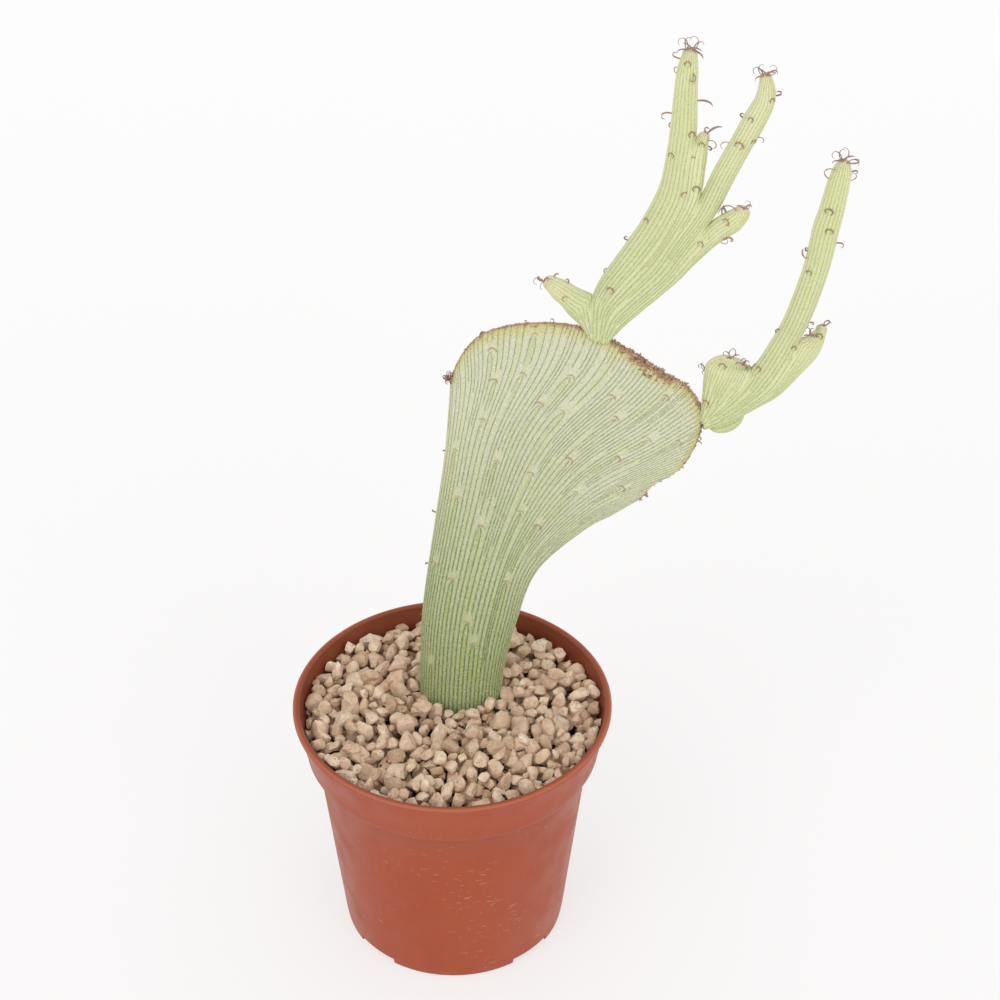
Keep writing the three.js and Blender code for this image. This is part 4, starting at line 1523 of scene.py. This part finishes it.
    def build(self) -> Piece:
        """Makes the branch."""
        sheets = [piece for index in range(len(self.fingers)) for piece in self.finger_sheets(index)]
        branch = weld(join(self.name, sheets), 0.006 * MM)
        soften(branch)
        finished(branch, BRANCH_LOOK.make(), self.nodes)
        return branch


UPPER_FINGERS = (
    Finger(
        "thumb",
        (
            (45.3, 0.0, 160.3, 1.3), (43.6, 0.3, 165.8, 3.3), (40.6, 0.6, 170.4, 4.5),
            (37.8, 0.9, 173.5, 4.3), (33.9, 1.2, 176.2, 3.9), (30.8, 1.6, 178.1, 2.9),
            (28.0, 2.0, 179.2, 0.0),
        ),
        8,
        ((0, 0), (1.0, 2.0), (4.3, 6)),
    ),
    Finger(
        "leader",
        (
            (47.5, 0.0, 159.9, 1.3), (48.2, 1.0, 174.8, 3.4), (59.8, 2.0, 193.3, 4.6),
            (65.7, 3.0, 203.1, 4.9), (71.2, 4.0, 216.2, 4.9), (72.8, 5.0, 229.0, 4.4),
            (74.0, 6.0, 239.6, 4.7), (73.9, 7.0, 250.4, 4.1), (74.1, 8.0, 258.7, 3.7),
            (74.5, 9.0, 264.1, 2.7), (74.5, 10.0, 266.9, 0.0),
        ),
        8,
        ((0, 0), (10, 10)),
    ),
    Finger(
        "bud",
        (
            (48.9, 0.0, 159.6, 0.6), (51.8, 0.5, 172.2, 1.1), (64.9, 1.0, 189.9, 1.7),
            (70.4, 1.5, 199.3, 1.6), (77.6, 2.0, 214.5, 2.3), (79.7, 2.5, 228.5, 2.6),
            (80.1, 3.0, 233.6, 2.5), (80.9, 3.5, 236.9, 2.0), (81.9, 4.0, 239.2, 0.0),
        ),
        8,
        ((0, 0), (5, 5), (6.0, 6.5), (7.4, 8)),
    ),
    Finger(
        "fork",
        (
            (50.3, 0.0, 159.4, 0.9), (54.3, -0.4, 170.6, 2.1), (68.6, -0.7, 187.8, 2.8),
            (73.9, -1.1, 197.4, 3.1), (83.4, -1.5, 213.9, 3.8), (89.0, -1.8, 227.3, 4.0),
            (93.7, -2.2, 238.2, 3.9), (97.5, -2.5, 246.9, 4.0), (100.6, -2.9, 254.5, 3.6),
            (101.2, -3.3, 259.5, 3.0), (100.8, -3.6, 263.2, 2.2), (100.2, -4.0, 265.6, 0.0),
        ),
        8,
        ((0, 0), (11, 11)),
    ),
    Finger(
        "spur",
        (
            (51.7, 0.0, 159.3, 0.9), (57.3, -0.8, 168.4, 1.9), (72.2, -1.5, 185.4, 2.4),
            (78.1, -2.2, 193.9, 2.9), (84.0, -3.0, 202.2, 3.6), (88.2, -3.8, 206.8, 3.8),
            (92.4, -4.5, 210.6, 3.9), (95.2, -5.2, 214.0, 3.1), (96.4, -6.0, 217.4, 0.0),
        ),
        8,
        ((0, 0), (2, 2), (3.7, 4.75), (6.6, 8)),
    ),
)
UPPER_CROTCHES = (
    Crotch(1.0, 45.3, 175.4),
    Crotch(6.0, 78.4, 236.6),
    Crotch(4.2, 81.4, 217.6),
    Crotch(3.7, 84.4, 207.8),
)
SIDE_FINGERS = (
    Finger(
        "lobe",
        (
            (86.9, 0.0, 130.3, 1.9), (89.4, 0.6, 136.5, 4.4), (91.9, 1.2, 142.4, 7.0),
            (93.8, 1.8, 147.4, 8.5), (95.6, 2.6, 154.0, 0.0),
        ),
        16,
        ((0, 0), (1, 1.2), (2, 3.35), (3, 4)),
        0.55,
    ),
    Finger(
        "arm",
        (
            (87.5, 0.0, 128.7, 1.5), (94.8, -0.8, 135.3, 3.1), (106.4, -1.7, 149.1, 4.5),
            (111.3, -2.5, 159.2, 5.0), (116.2, -3.3, 172.1, 4.6), (120.4, -4.2, 188.1, 4.5),
            (122.6, -5.0, 198.8, 4.5), (124.3, -5.8, 211.3, 4.6), (125.7, -6.7, 218.8, 4.3),
            (127.1, -7.5, 228.1, 3.9), (128.1, -8.3, 234.3, 3.3), (128.5, -9.2, 237.7, 2.2),
            (128.8, -10.0, 239.4, 0.0),
        ),
        8,
        ((0, 0), (12, 12)),
    ),
    Finger(
        "prong",
        (
            (88.1, 0.0, 127.1, 0.8), (97.4, 0.5, 132.3, 1.5), (104.8, 1.0, 138.0, 1.9),
            (111.0, 1.5, 143.0, 2.3), (117.2, 2.0, 152.4, 3.2), (121.3, 2.5, 158.5, 3.5),
            (123.6, 3.0, 163.0, 3.0), (125.2, 3.5, 166.5, 2.0), (126.0, 4.0, 169.3, 0.0),
        ),
        8,
        ((0, 0), (3.5, 5.3), (5.4, 8)),
    ),
)
SIDE_CROTCHES = (Crotch(2.0, 102.3, 151.8), Crotch(3.5, 118.4, 165.0))


@dataclass
class Heel:
    """The folded edge under the side branch: a short closed fold behind the lobe."""

    stations: tuple = (
        (87.6, 2.0, 126.6, 1.2), (90.6, 2.8, 125.6, 2.9), (94.2, 3.6, 126.4, 3.6), (97.8, 4.2, 128.4, 3.0),
        (101.0, 5.0, 131.4, 0.9),
    )
    half_depth: float = 2.6

    def build(self) -> Piece:
        """Makes the fold as a closed round sheet."""
        rows, around = 40, 48
        table = through_points(np.array(self.stations), np.linspace(0, len(self.stations) - 1, rows))
        closing = np.sin(np.linspace(0, math.pi, rows)) ** 0.4
        angle = np.linspace(0, 2 * math.pi, around + 1)
        points = np.empty((rows, around + 1, 3))
        gap = np.abs((angle[None, :] * 5 / math.pi) % 1 - 0.5) * 2.4
        half = table[:, 3:4] * closing[:, None]
        half[0] = half[-1] = 0
        way = np.gradient(table[:, [0, 2]], axis=0)
        way /= np.linalg.norm(way, axis=1, keepdims=True)
        points[:, :, 0] = table[:, :1] + way[:, 1:] * half * np.cos(angle)
        points[:, :, 1] = table[:, 1:2] - np.minimum(half, self.half_depth) * np.sin(angle)
        points[:, :, 2] = table[:, 2:3] - way[:, :1] * half * np.cos(angle)
        marks = skin_marks(points, gap, 0.3, 8 + angle * 2, 0.0)
        marks |= {name: np.zeros(points.shape[:2]) for name in ("tongue", "bloom")}
        heel = weld(sheet("folded_heel", PLANT.placed(points), marks))
        soften(heel)
        finished(heel, BRANCH_LOOK.make(), [])
        return heel


# ---- leaves, scars, crust


@dataclass(frozen=True)
class Curl:
    """A dried leaf that has rolled up.

    Attributes:
        length: Length of the leaf, in millimetres.
        width: Its greatest width.
        curl: How far it turns from its root to its tip, in degrees.
        sweep: How far the turning leaves its own plane, in degrees.
        late: Above 1, the leaf curls mostly near its tip.
    """

    length: float
    width: float
    curl: float
    sweep: float = 20.0
    late: float = 1.9

    def points(self, root: Vector, way: Vector, face: Vector, rows: int = 22) -> Array:
        """Lays the leaf out.

        Args:
            root: Where it grows from, in plant millimetres.
            way: The direction in which it starts.
            face: The direction that its face looks in.
            rows: Rows along the leaf.

        Returns:
            A closed tube of points, in rows and columns.
        """
        way, face = way.normalized(), face.normalized()
        side = way.cross(face).normalized()
        face = side.cross(way).normalized()
        place = root.copy()
        net = np.empty((rows, 9, 3))
        step = self.length / (rows - 1)
        for row in range(rows):
            share = row / (rows - 1)
            wide = self.width * 0.5 * math.sin(math.pi * min(1.0, 0.22 + 0.78 * share) ** 1.1) ** 0.7
            wide = max(wide, 0.02)
            thick = 0.05 + 0.10 * (1 - share)
            for column in range(9):
                turn = 2 * math.pi * column / 8
                bowl = 0.35 * wide * math.cos(turn) ** 2
                out = face * (thick * math.sin(turn) + bowl)
                net[row, column] = place + side * wide * math.cos(turn) + out
            if row in (0, rows - 1):
                net[row] = np.array(place)
            bend = math.radians(self.curl) * (self.late * share ** (self.late - 1)) / (rows - 1)
            swing = math.radians(self.sweep) / (rows - 1)
            turned = Matrix.Rotation(bend, 3, side) @ Matrix.Rotation(swing, 3, face)
            way = (turned @ way).normalized()
            face = (turned @ face).normalized()
            side = way.cross(face).normalized()
            place = place + way * step
        return net

    def build(self, name: str, root: Vector, way: Vector, face: Vector, tint: float) -> Piece:
        """Makes the leaf as a piece of its own."""
        net = self.points(root, way, face)
        share = np.broadcast_to(np.linspace(0, 1, len(net))[:, None], net.shape[:2])
        marks = {"along": share, "tint": np.full(net.shape[:2], tint)}
        return weld(sheet(name, PLANT.placed(net), marks), 0.002 * MM)


@dataclass(frozen=True)
class LeafSpot:
    """Where a dried leaf grows, and how it points.

    Attributes:
        finger: The finger's name.
        level: The level on the finger.
        across: The share of its width: 0 is the left edge, 1 the right.
        angle: The direction in the sheet's plane, in degrees from up, clockwise.
        curl: The leaf.
        forward: How far it leans towards the front, from -1 to 1.
    """

    finger: str
    level: float
    across: float
    angle: float
    curl: Curl
    forward: float = 0.2


def tuft(finger: str, level: float, across: float, count: int, angle: float, size: float) -> list[LeafSpot]:
    """Gives a small cluster of shrivelled leaves.

    Args:
        finger: The finger's name.
        level: The level on the finger.
        across: The share of its width.
        count: How many leaves.
        angle: The middle direction, in degrees from up, clockwise.
        size: Their length, in millimetres.

    Returns:
        The leaves of the cluster.
    """
    spots = []
    for index in range(count):
        fan = (index - (count - 1) / 2) / max(count - 1, 1)
        turn = (120 + 75 * (index % 3)) * (1 if index % 2 else -1)
        curl = Curl(size * (0.85 + 0.16 * ((index * 7) % 5)), 0.62 + 0.2 * (index % 2), turn, 30 * fan, 1.9)
        lower = 0.02 * (index % 3)
        forward = 0.5 - 0.5 * (index % 3)
        spots.append(LeafSpot(finger, level - lower, across, angle + 130 * fan, curl, forward))
    return spots


def leaves_on(finger: str, *rows: tuple[float, ...]) -> list[LeafSpot]:
    """Gives single leaves of a finger.

    Args:
        finger: The finger's name.
        rows: For each leaf its level, across and angle, then its curl's length, width, curl, sweep and
            late, and last how far it leans forward; the last two may be left out.

    Returns:
        The leaves.
    """
    spots = []
    for level, across, angle, *rest in rows:
        spots.append(LeafSpot(finger, level, across, angle, Curl(*rest[:5]), *rest[5:]))
    return spots


UPPER_LEAVES = (
    tuft("leader", 9.8, 0.3, 4, -15, 6.3)
    + tuft("leader", 9.8, 0.75, 4, 30, 6.3)
    + leaves_on(
        "leader",
        (8.7, 0.0, -80, 7.0, 0.71, 200, 10), (7.9, 0.02, -60, 4.8, 0.81, 300, 20),
        (8.1, 0.75, 120, 5.9, 0.89, 260, 20, 1.9, 0.9), (6.9, 1.0, 75, 7.2, 0.9, 119, 20, 2.2),
        (6.4, 0.0, -75, 7.0, 0.81, -219, 10), (5.9, 0.02, -50, 3.8, 0.81, 260, 20),
    )
    + leaves_on(
        "bud",
        (7.3, 0.3, -20, 5.3, 0.81, 160, 20), (7.3, 0.6, 30, 7.0, 1.16, 90, 10),
        (6.6, 0.95, 80, 6.5, 0.89, 231, 10), (5.9, 1.0, 100, 4.8, 0.81, 300, 10),
    )
    + tuft("fork", 10.8, 0.35, 4, -35, 5.6)
    + tuft("fork", 10.8, 0.7, 3, 30, 5.6)
    + leaves_on(
        "fork",
        (8.6, 1.0, 75, 5.9, 0.81, -240, 10), (7.0, 0.0, -60, 4.8, 0.81, 250, 10),
        (5.9, 0.0, -70, 5.3, 0.81, -200, 10), (6.6, 0.95, 70, 4.3, 0.81, 200, 10),
    )
    + leaves_on("leader", (5.4, 0.98, 70, 4.8, 0.81, 219, 10, 1.9, 0.6))
    + tuft("spur", 6.5, 0.5, 3, 25, 4.5)
    + leaves_on(
        "spur",
        (6.1, 0.12, -25, 9.1, 0.81, -150, 10, 1.2), (5.0, 0.0, -30, 4.8, 1.07, 60, 10),
        (4.6, 0.02, -10, 4.8, 1.07, 50, 10), (3.6, 0.97, 130, 4.8, 0.81, -260, 10, 1.9, 0.5),
        (4.0, 1.0, 95, 5.3, 0.81, 219, 10),
    )
    + leaves_on("leader", (2.1, 0.0, -70, 4.8, 0.71, 240, 10))
    + tuft("thumb", 4.25, 0.5, 4, -60, 5.0)
    + leaves_on("thumb", (3.6, 0.98, 10, 3.8, 0.81, 219, 10), (2.5, 1.0, 20, 3.4, 0.81, -240, 10))
    + leaves_on("leader", (1.4, 0.0, -30, 3.8, 0.81, 240, 10))
)
SIDE_LEAVES = (
    tuft("arm", 11.7, 0.3, 5, -10, 5.9)
    + tuft("arm", 11.7, 0.75, 3, 35, 5.9)
    + leaves_on(
        "arm",
        (9.3, 0.0, -55, 10.2, 0.62, 169, 10, 1.1), (10.1, 1.0, 40, 4.3, 0.81, 260, 10),
        (9.5, 1.0, 80, 5.2, 0.81, -260, 10), (6.6, 1.0, 60, 5.9, 0.71, 200, 10, 1.2),
        (6.2, 0.0, -70, 3.8, 0.89, 240, 10), (6.05, 0.06, -50, 5.3, 1.07, 110, 10, 1.9, 0.8),
        (3.6, 0.0, -30, 5.9, 0.71, 190, 10, 1.2), (4.1, 1.0, 60, 3.8, 0.81, 260, 10),
        (3.9, 1.0, 40, 3.8, 0.81, -231, 10),
    )
    + tuft("prong", 5.35, 0.5, 3, 0, 4.8)
    + tuft("prong", 4.2, 0.05, 4, -10, 4.2)
    + tuft("lobe", 2.95, 0.35, 5, -10, 4.6)
    + tuft("lobe", 2.8, 0.9, 4, 20, 4.2)
    + tuft("lobe", 2.1, 0.99, 3, 15, 4.2)
    + tuft("lobe", 1.7, 0.0, 3, -70, 3.8)
)


@dataclass
class DriedLeaves:
    """The rolled, dried leaves of one branch."""

    name: str
    branch: Branch
    spots: list[LeafSpot]
    nodes: list[str]

    def build(self) -> Piece:
        """Makes all the leaves as one piece."""
        leaves = []
        for index, spot in enumerate(self.spots):
            root, normal = self.branch.place(spot.finger, spot.level, spot.across)
            angle = math.radians(spot.angle)
            way = Vector((math.sin(angle), -0.5 * spot.forward, math.cos(angle)))
            lean = (0.35 + 0.5 * ((index * 67) % 100) / 100) * (1 if index % 2 else -1)
            face = Vector((way.z, lean, -way.x))
            root = root - way.normalized() * 0.5
            tint = (index * 37 % 100) / 100
            leaves.append(spot.curl.build(f"{self.name}_{index}", root, way, face, tint))
        piece = join(self.name, leaves)
        soften(piece, 60)
        finished(piece, dry_leaf_look(), self.nodes)
        return piece


def dry_leaf_look() -> Look:
    """Gives the dried leaves' material, which is made once."""
    made = bpy.data.materials.get("papery_leaf")
    if made:
        return made
    colours = (screen(176, 142, 122), screen(158, 134, 126), screen(126, 108, 106))
    return DryLeafFinish("papery_leaf", *colours).make()


@dataclass
class LeafScars:
    """The small raised scars that fallen leaves left on the skin."""

    fan: CrestedStem
    branches: tuple[Branch, Branch]
    on_fingers: tuple = (
        ("leader", 8.6, 0.45), ("leader", 6.1, 0.8), ("leader", 5.1, 0.25), ("leader", 4.2, 0.95),
        ("leader", 3.1, 0.15), ("fork", 8.4, 0.8), ("fork", 7.2, 0.35), ("fork", 6.1, 0.4),
        ("fork", 6.4, 0.85), ("spur", 3.3, 0.3), ("spur", 3.9, 0.9), ("spur", 4.7, 0.3),
        ("leader", 1.3, 0.6), ("thumb", 2.2, 0.5), ("arm", 8.1, 0.4), ("arm", 7.1, 0.6),
        ("arm", 5.6, 0.3), ("arm", 2.2, 0.2), ("prong", 4.5, 0.5), ("lobe", 0.8, 0.3),
        ("arm", 3.3, 0.85), ("bud", 6.0, 0.5), ("bud", 4.4, 0.6), ("lobe", 2.1, 0.35),
    )

    def pattern(self, index: int, ends: float) -> Piece:
        """Makes a horseshoe ridge whose ends turn down, each by an angle in degrees."""
        dice = np.random.default_rng(60 + index)
        turns = np.linspace(math.radians(180 + ends), math.radians(-ends), 15)
        wobble = 1.25 + 0.08 * dice.normal(size=15)
        thick = 0.24 * np.sin(np.linspace(0.25, math.pi - 0.25, 15)) * (1 + 0.3 * dice.normal(size=15))
        thick[0] = thick[-1] = 0
        around = np.linspace(0, 2 * math.pi, 9)
        net = np.empty((15, 9, 3))
        radial = wobble[:, None] + thick[:, None] * np.cos(around)
        net[:, :, 0] = radial * np.cos(turns)[:, None]
        net[:, :, 1] = radial * np.sin(turns)[:, None] * 0.85
        net[:, :, 2] = 0.12 + thick[:, None] * np.sin(around)
        brown = 0.45 if ends < 30 else 0.1
        marks = {"along": np.full((15, 9), brown), "tint": np.full((15, 9), dice.uniform(0, 1))}
        return weld(sheet(f"scar_pattern_{index}", net * MM, marks), 0.002 * MM)

    def build(self) -> Piece:
        """Sets a scar at every place."""
        dice = np.random.default_rng(9)
        patterns = [self.pattern(index, 12 if index < 4 else 64) for index in range(8)]
        places = []
        for across, up in self.fan.scars:
            points = self.fan.front.points
            row, column = nearest(points, across, up)
            way = points[min(row + 2, len(points) - 1), column] - points[max(row - 2, 0), column]
            places.append((points[row, column], self.fan.front.normals[row, column], way, 1.0))
        for finger, level, across in self.on_fingers:
            branch = next(item for item in self.branches if finger in item.skins)
            point, normal = branch.place(finger, level, across)
            ahead, _ = branch.place(finger, level + 0.3, across)
            places.append((point, normal, ahead - point, 0.95))
        scars = []
        fan_scars = len(self.fan.scars)
        for index, (point, normal, way, size) in enumerate(places):
            normal = Vector(normal).normalized()
            way = Vector(way)
            way = (way - normal * way.dot(normal)).normalized()
            turned = Matrix((way.cross(normal), way, normal)).transposed()
            row_axes = PLANT.matrix() @ turned
            place = Vector(PLANT.placed(np.array(point)))
            grown = size * dice.uniform(0.75, 1.2)
            matrix = Matrix.Translation(place) @ row_axes.to_4x4() @ Matrix.Scale(grown, 4)
            pattern = patterns[index % 4 + (4 if index >= fan_scars else 0)]
            scars.append(copies_of(pattern, f"scar_{index}", matrix))
        piece = join("leaf_scars", scars)
        remove(patterns)
        soften(piece, 60)
        colours = (screen(150, 124, 96), screen(190, 166, 128), screen(196, 160, 138))
        finished(piece, DryLeafFinish("leaf_scar", *colours).make(), [])
        return piece


@dataclass
class MarginCrust:
    """The brown corky crust on the fan's growing rim: a bead with hundreds of flakes.

    Attributes:
        flakes: How many flakes.
        heap: The share of the rim at which the crust is thickest.
        heap_spread: How far the thick part reaches, as a share of the rim.
    """

    fan: CrestedStem
    flakes: int = 620
    heap: float = 0.55
    heap_spread: float = 0.085

    def rim(self, shares: Array) -> tuple[Array, Array]:
        """Gives points on the rim and the directions that point away from the fan."""
        line = self.fan.front.points[-1]
        below = self.fan.front.points[-10]
        run = run_along(line)
        run /= run[-1]
        place = np.stack([np.interp(shares, run, line[:, axis]) for axis in range(3)], -1)
        under = np.stack([np.interp(shares, run, below[:, axis]) for axis in range(3)], -1)
        out = place - under
        out[:, 1] = 0
        out /= np.linalg.norm(out, axis=1, keepdims=True)
        return place, out

    def bulk(self, shares: Array) -> Array:
        """Gives the crust's size along the rim."""
        heap = np.exp(-(((shares - self.heap) / self.heap_spread) ** 2))
        corner = np.exp(-(((shares - 0.008) / 0.02) ** 2))
        slope = 0.12 * smooth(shares, 0.3, 0.45) - 0.1 * smooth(shares, 0.85, 1.0)
        return 0.50 + 0.70 * heap + 0.75 * corner + slope

    def bead(self) -> Piece:
        """Makes the rough bead along the rim."""
        dice = np.random.default_rng(15)
        count, around = 620, 12
        shares = np.linspace(0.0, 1.0, count)
        place, out = self.rim(shares)
        size = self.bulk(shares)
        lumps = np.interp(shares, np.linspace(0, 1, 240), dice.uniform(0.7, 1.3, 240))
        angle = np.linspace(0, 2 * math.pi, around + 1)
        rough = 1 + 0.28 * dice.normal(size=(count, around + 1))
        rough[:, -1] = rough[:, 0]
        reach = (size * lumps)[:, None] * rough
        reach[0] = reach[-1] = 0
        net = np.empty((count, around + 1, 3))
        heap = np.exp(-(((shares - self.heap) / self.heap_spread) ** 2))[:, None]
        centre = place - out * (0.25 + 1.1 * heap)
        for axis in range(3):
            net[:, :, axis] = centre[:, [axis]] + reach * (1 + 0.45 * heap) * np.cos(angle) * out[:, [axis]]
        net[:, :, 1] += reach * np.sin(angle) * 1.15
        marks = {"along": dice.uniform(0, 1, net.shape[:2]), "tint": dice.uniform(0, 1, net.shape[:2])}
        marks["along"][:, -1] = marks["along"][:, 0]
        marks["tint"][:, -1] = marks["tint"][:, 0]
        return weld(sheet("crust_bead", PLANT.placed(net), marks), 0.002 * MM)

    def flake(self, index: int) -> Piece:
        """Makes one crumpled flake, to be copied."""
        dice = np.random.default_rng(300 + index)
        alone()
        bpy.ops.mesh.primitive_ico_sphere_add(subdivisions=1, radius=1)
        flake = named(f"flake_pattern_{index}")
        place = points_of(flake)
        place *= 1 + 0.35 * dice.normal(size=(len(place), 1))
        place *= (1.0, dice.uniform(0.35, 0.7), dice.uniform(0.18, 0.4))
        move_points(flake, place)
        tint = np.full(len(place), dice.uniform(0, 1))
        set_marks(flake, {"along": np.full(len(place), dice.uniform(0, 1)), "tint": tint})
        return flake

    def build(self) -> Piece:
        """Makes the crust."""
        dice = np.random.default_rng(77)
        patterns = [self.flake(index) for index in range(12)]
        near_heap = dice.uniform(0, 1, self.flakes) < 0.5
        shares = dice.uniform(0.0, 1.0, self.flakes)
        shares[near_heap] = np.clip(dice.normal(self.heap, self.heap_spread * 0.75, near_heap.sum()), 0, 1)
        place, out = self.rim(shares)
        size = self.bulk(shares)
        pieces = [self.bead()]
        for index in range(self.flakes):
            side = np.array((0.0, -dice.uniform(-0.4, 1) * (1.4 + size[index]), 0.0))
            spot = place[index] + out[index] * dice.uniform(-1.3, 0.3) * size[index] ** 2 * 1.5 + side
            turned = any_turn(dice)
            grown = Matrix.Scale(dice.uniform(0.35, 0.95) * (0.55 + 0.45 * size[index]) * MM, 4)
            matrix = Matrix.Translation(Vector(PLANT.placed(spot))) @ turned @ grown
            pieces.append(copies_of(patterns[index % 12], f"flake_{index}", matrix))
        crust = join("margin_crust", pieces)
        remove(patterns)
        colours = (screen(182, 142, 112), screen(208, 174, 150), screen(146, 108, 84))
        finished(crust, DryLeafFinish("margin_crust", *colours).make(), [])
        return crust

    def shreds(self) -> Piece:
        """Makes the small shrivelled leaves that stand along the rim and on the fan's edge."""
        dice = np.random.default_rng(52)
        corner = np.clip(dice.normal(0.006, 0.012, 14), 0, 0.04)
        shares = np.concatenate([corner, dice.uniform(0.08, 1.0, 16)])
        place, out = self.rim(shares)
        leaves = []
        for index, (root, away) in enumerate(zip(place, out)):
            length = dice.uniform(3.2, 6.2) if index < 14 else dice.uniform(1.8, 3.4)
            curl = Curl(length, dice.uniform(0.6, 0.9), dice.choice((-1, 1)) * dice.uniform(160, 320), 30)
            way = (Vector((-1.0, -0.2, 0.1)) if index < 14 else Vector(away)) + Vector(dice.normal(0, 0.5, 3))
            face = Vector((way.z, dice.uniform(-1, 1), -way.x))
            leaves.append(curl.build(f"shred_{index}", Vector(root), way, face, dice.uniform(0, 1)))
        edge = self.fan.front.points[:, 0]
        for up, length in ((57.0, 2.6), (80.5, 2.8), (108.0, 1.6), (34.0, 1.5)):
            root = Vector(edge[int(np.argmin(np.abs(edge[:, 2] - up)))])
            curl = Curl(length, 0.7, dice.choice((-1, 1)) * 190, 20)
            way, face = Vector((-1, -0.2, 0.5)), Vector((0, -1, 0.2))
            leaves.append(curl.build(f"edge_shred_{up:.0f}", root, way, face, 0.3))
        piece = join("rim_shreds", leaves)
        soften(piece, 60)
        finished(piece, dry_leaf_look(), [])
        return piece


# ---- studio


@dataclass
class Studio:
    """A plain pale floor, soft light from all round, and the camera."""

    floor_size: float = 6.0
    glow: float = 0.625
    world: float = 0.78
    camera_place: tuple[float, float, float] = (0.01794, -0.85011, 0.84998)
    camera_pitch: float = 52.56
    lens: float = 108.0

    def build(self) -> None:
        """Sets up the floor, the lights and the camera."""
        alone()
        bpy.ops.mesh.primitive_plane_add(size=self.floor_size)
        floor = named("studio_floor")
        floor.data.materials.append(self.floor_look())
        self.sky()
        self.lamp("key", (-0.9, -1.3, 1.6), (0.0, 0.0, 0.15), 1.2, 8.0)
        self.lamp("fill", (0.9, -1.5, 0.9), (0.0, 0.0, 0.15), 1.2, 6.0)
        self.camera()
        bpy.context.scene.view_settings.view_transform = "Standard"
        bpy.context.scene.view_settings.look = "None"

    def floor_look(self) -> Look:
        """Makes the pale floor, which glows a little so that it stays near white."""
        look, wiring, shader = blank_material("studio_floor")
        away = wiring.add("SeparateXYZ", {0: wiring.place()}).outputs[1]
        lift = wiring.ease(away, -0.2, 1.0, self.glow, self.glow + 0.06)
        surface = {
            "Base Color": (0.36, 0.355, 0.355, 1.0),
            "Roughness": 0.9,
            "Specular IOR Level": 0.0,
            "Emission Color": (1.0, 0.995, 0.998, 1.0),
            "Emission Strength": lift,
        }
        plug(wiring, shader, surface)
        return look

    def sky(self) -> None:
        """Surrounds the scene with white."""
        world = bpy.data.worlds.new("studio_white")
        world.use_nodes = True
        back = world.node_tree.nodes["Background"]
        back.inputs["Color"].default_value = (1.0, 0.995, 0.985, 1.0)
        back.inputs["Strength"].default_value = self.world
        bpy.context.scene.world = world

    def lamp(self, name: str, place: tuple, aim: tuple, size: float, power: float) -> None:
        """Hangs a soft square lamp that looks at a point."""
        alone()
        bpy.ops.object.light_add(type="AREA", location=place)
        lamp = named(f"lamp_{name}")
        lamp.data.size = size
        lamp.data.energy = power
        lamp.rotation_euler = (Vector(aim) - Vector(place)).to_track_quat("-Z", "Y").to_euler()

    def camera(self) -> None:
        """Sets the camera."""
        alone()
        tilt = (math.radians(self.camera_pitch), 0, 0)
        bpy.ops.object.camera_add(location=self.camera_place, rotation=tilt)
        camera = named("camera")
        camera.data.lens = self.lens
        camera.data.sensor_width = 36
        camera.data.clip_start = 0.01
        camera.data.clip_end = 50
        bpy.context.scene.camera = camera


# ---- main


def numbered(start: str) -> list[str]:
    """Gives the frame's nodes whose names begin with a word, in order of their number."""
    return sorted((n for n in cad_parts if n.startswith(start)), key=lambda n: int(n.rsplit("_", 1)[1]))


def dress_node(name: str, look: Look) -> None:
    """Gives a node that stays as it is its material."""
    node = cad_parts[name]
    node.data.materials.clear()
    node.data.materials.append(look)


POTTING_SOIL = EarthFinish("potting_soil", screen(52, 34, 24), screen(92, 64, 46), 420, 0.6 * MM)
ROOT_BARK = EarthFinish("root", screen(206, 190, 158), screen(176, 150, 112), 300, 0.2 * MM)


def main() -> None:
    """Builds the pot, the plant and the studio in order."""
    logging.basicConfig(level=logging.INFO, format="%(message)s")
    Studio().build()
    grain_group()
    stem_skin_group()
    NurseryPot().build()
    dress_node("soil", POTTING_SOIL.make())
    dress_node("root_system", ROOT_BARK.make())
    stem = (*PLANT.foot[:2], 15.4, 9.4)
    GravelTopping((54.8, 57.1), 90.5, 101.6, stem, PLANT.turn, numbered("loose_stone_")).build()
    SoilCrumbs().build()
    fan = CrestedStem()
    fan.build()
    upper = Branch("upper_fingers", UPPER_FINGERS, UPPER_CROTCHES, (3.0, 4.3), ["upper_branch"])
    upper.build()
    side = Branch("side_fingers", SIDE_FINGERS, SIDE_CROTCHES, (2.6, 4.2), ["side_branch"])
    side.build()
    Heel().build()
    LeafScars(fan, (upper, side)).build()
    crust = MarginCrust(fan)
    crust.build()
    crust.shreds()
    DriedLeaves("upper_dried_leaves", upper, UPPER_LEAVES, numbered("upper_leaf_")).build()
    DriedLeaves("side_dried_leaves", side, SIDE_LEAVES, numbered("side_leaf_")).build()


if __name__ == "__main__":
    main()
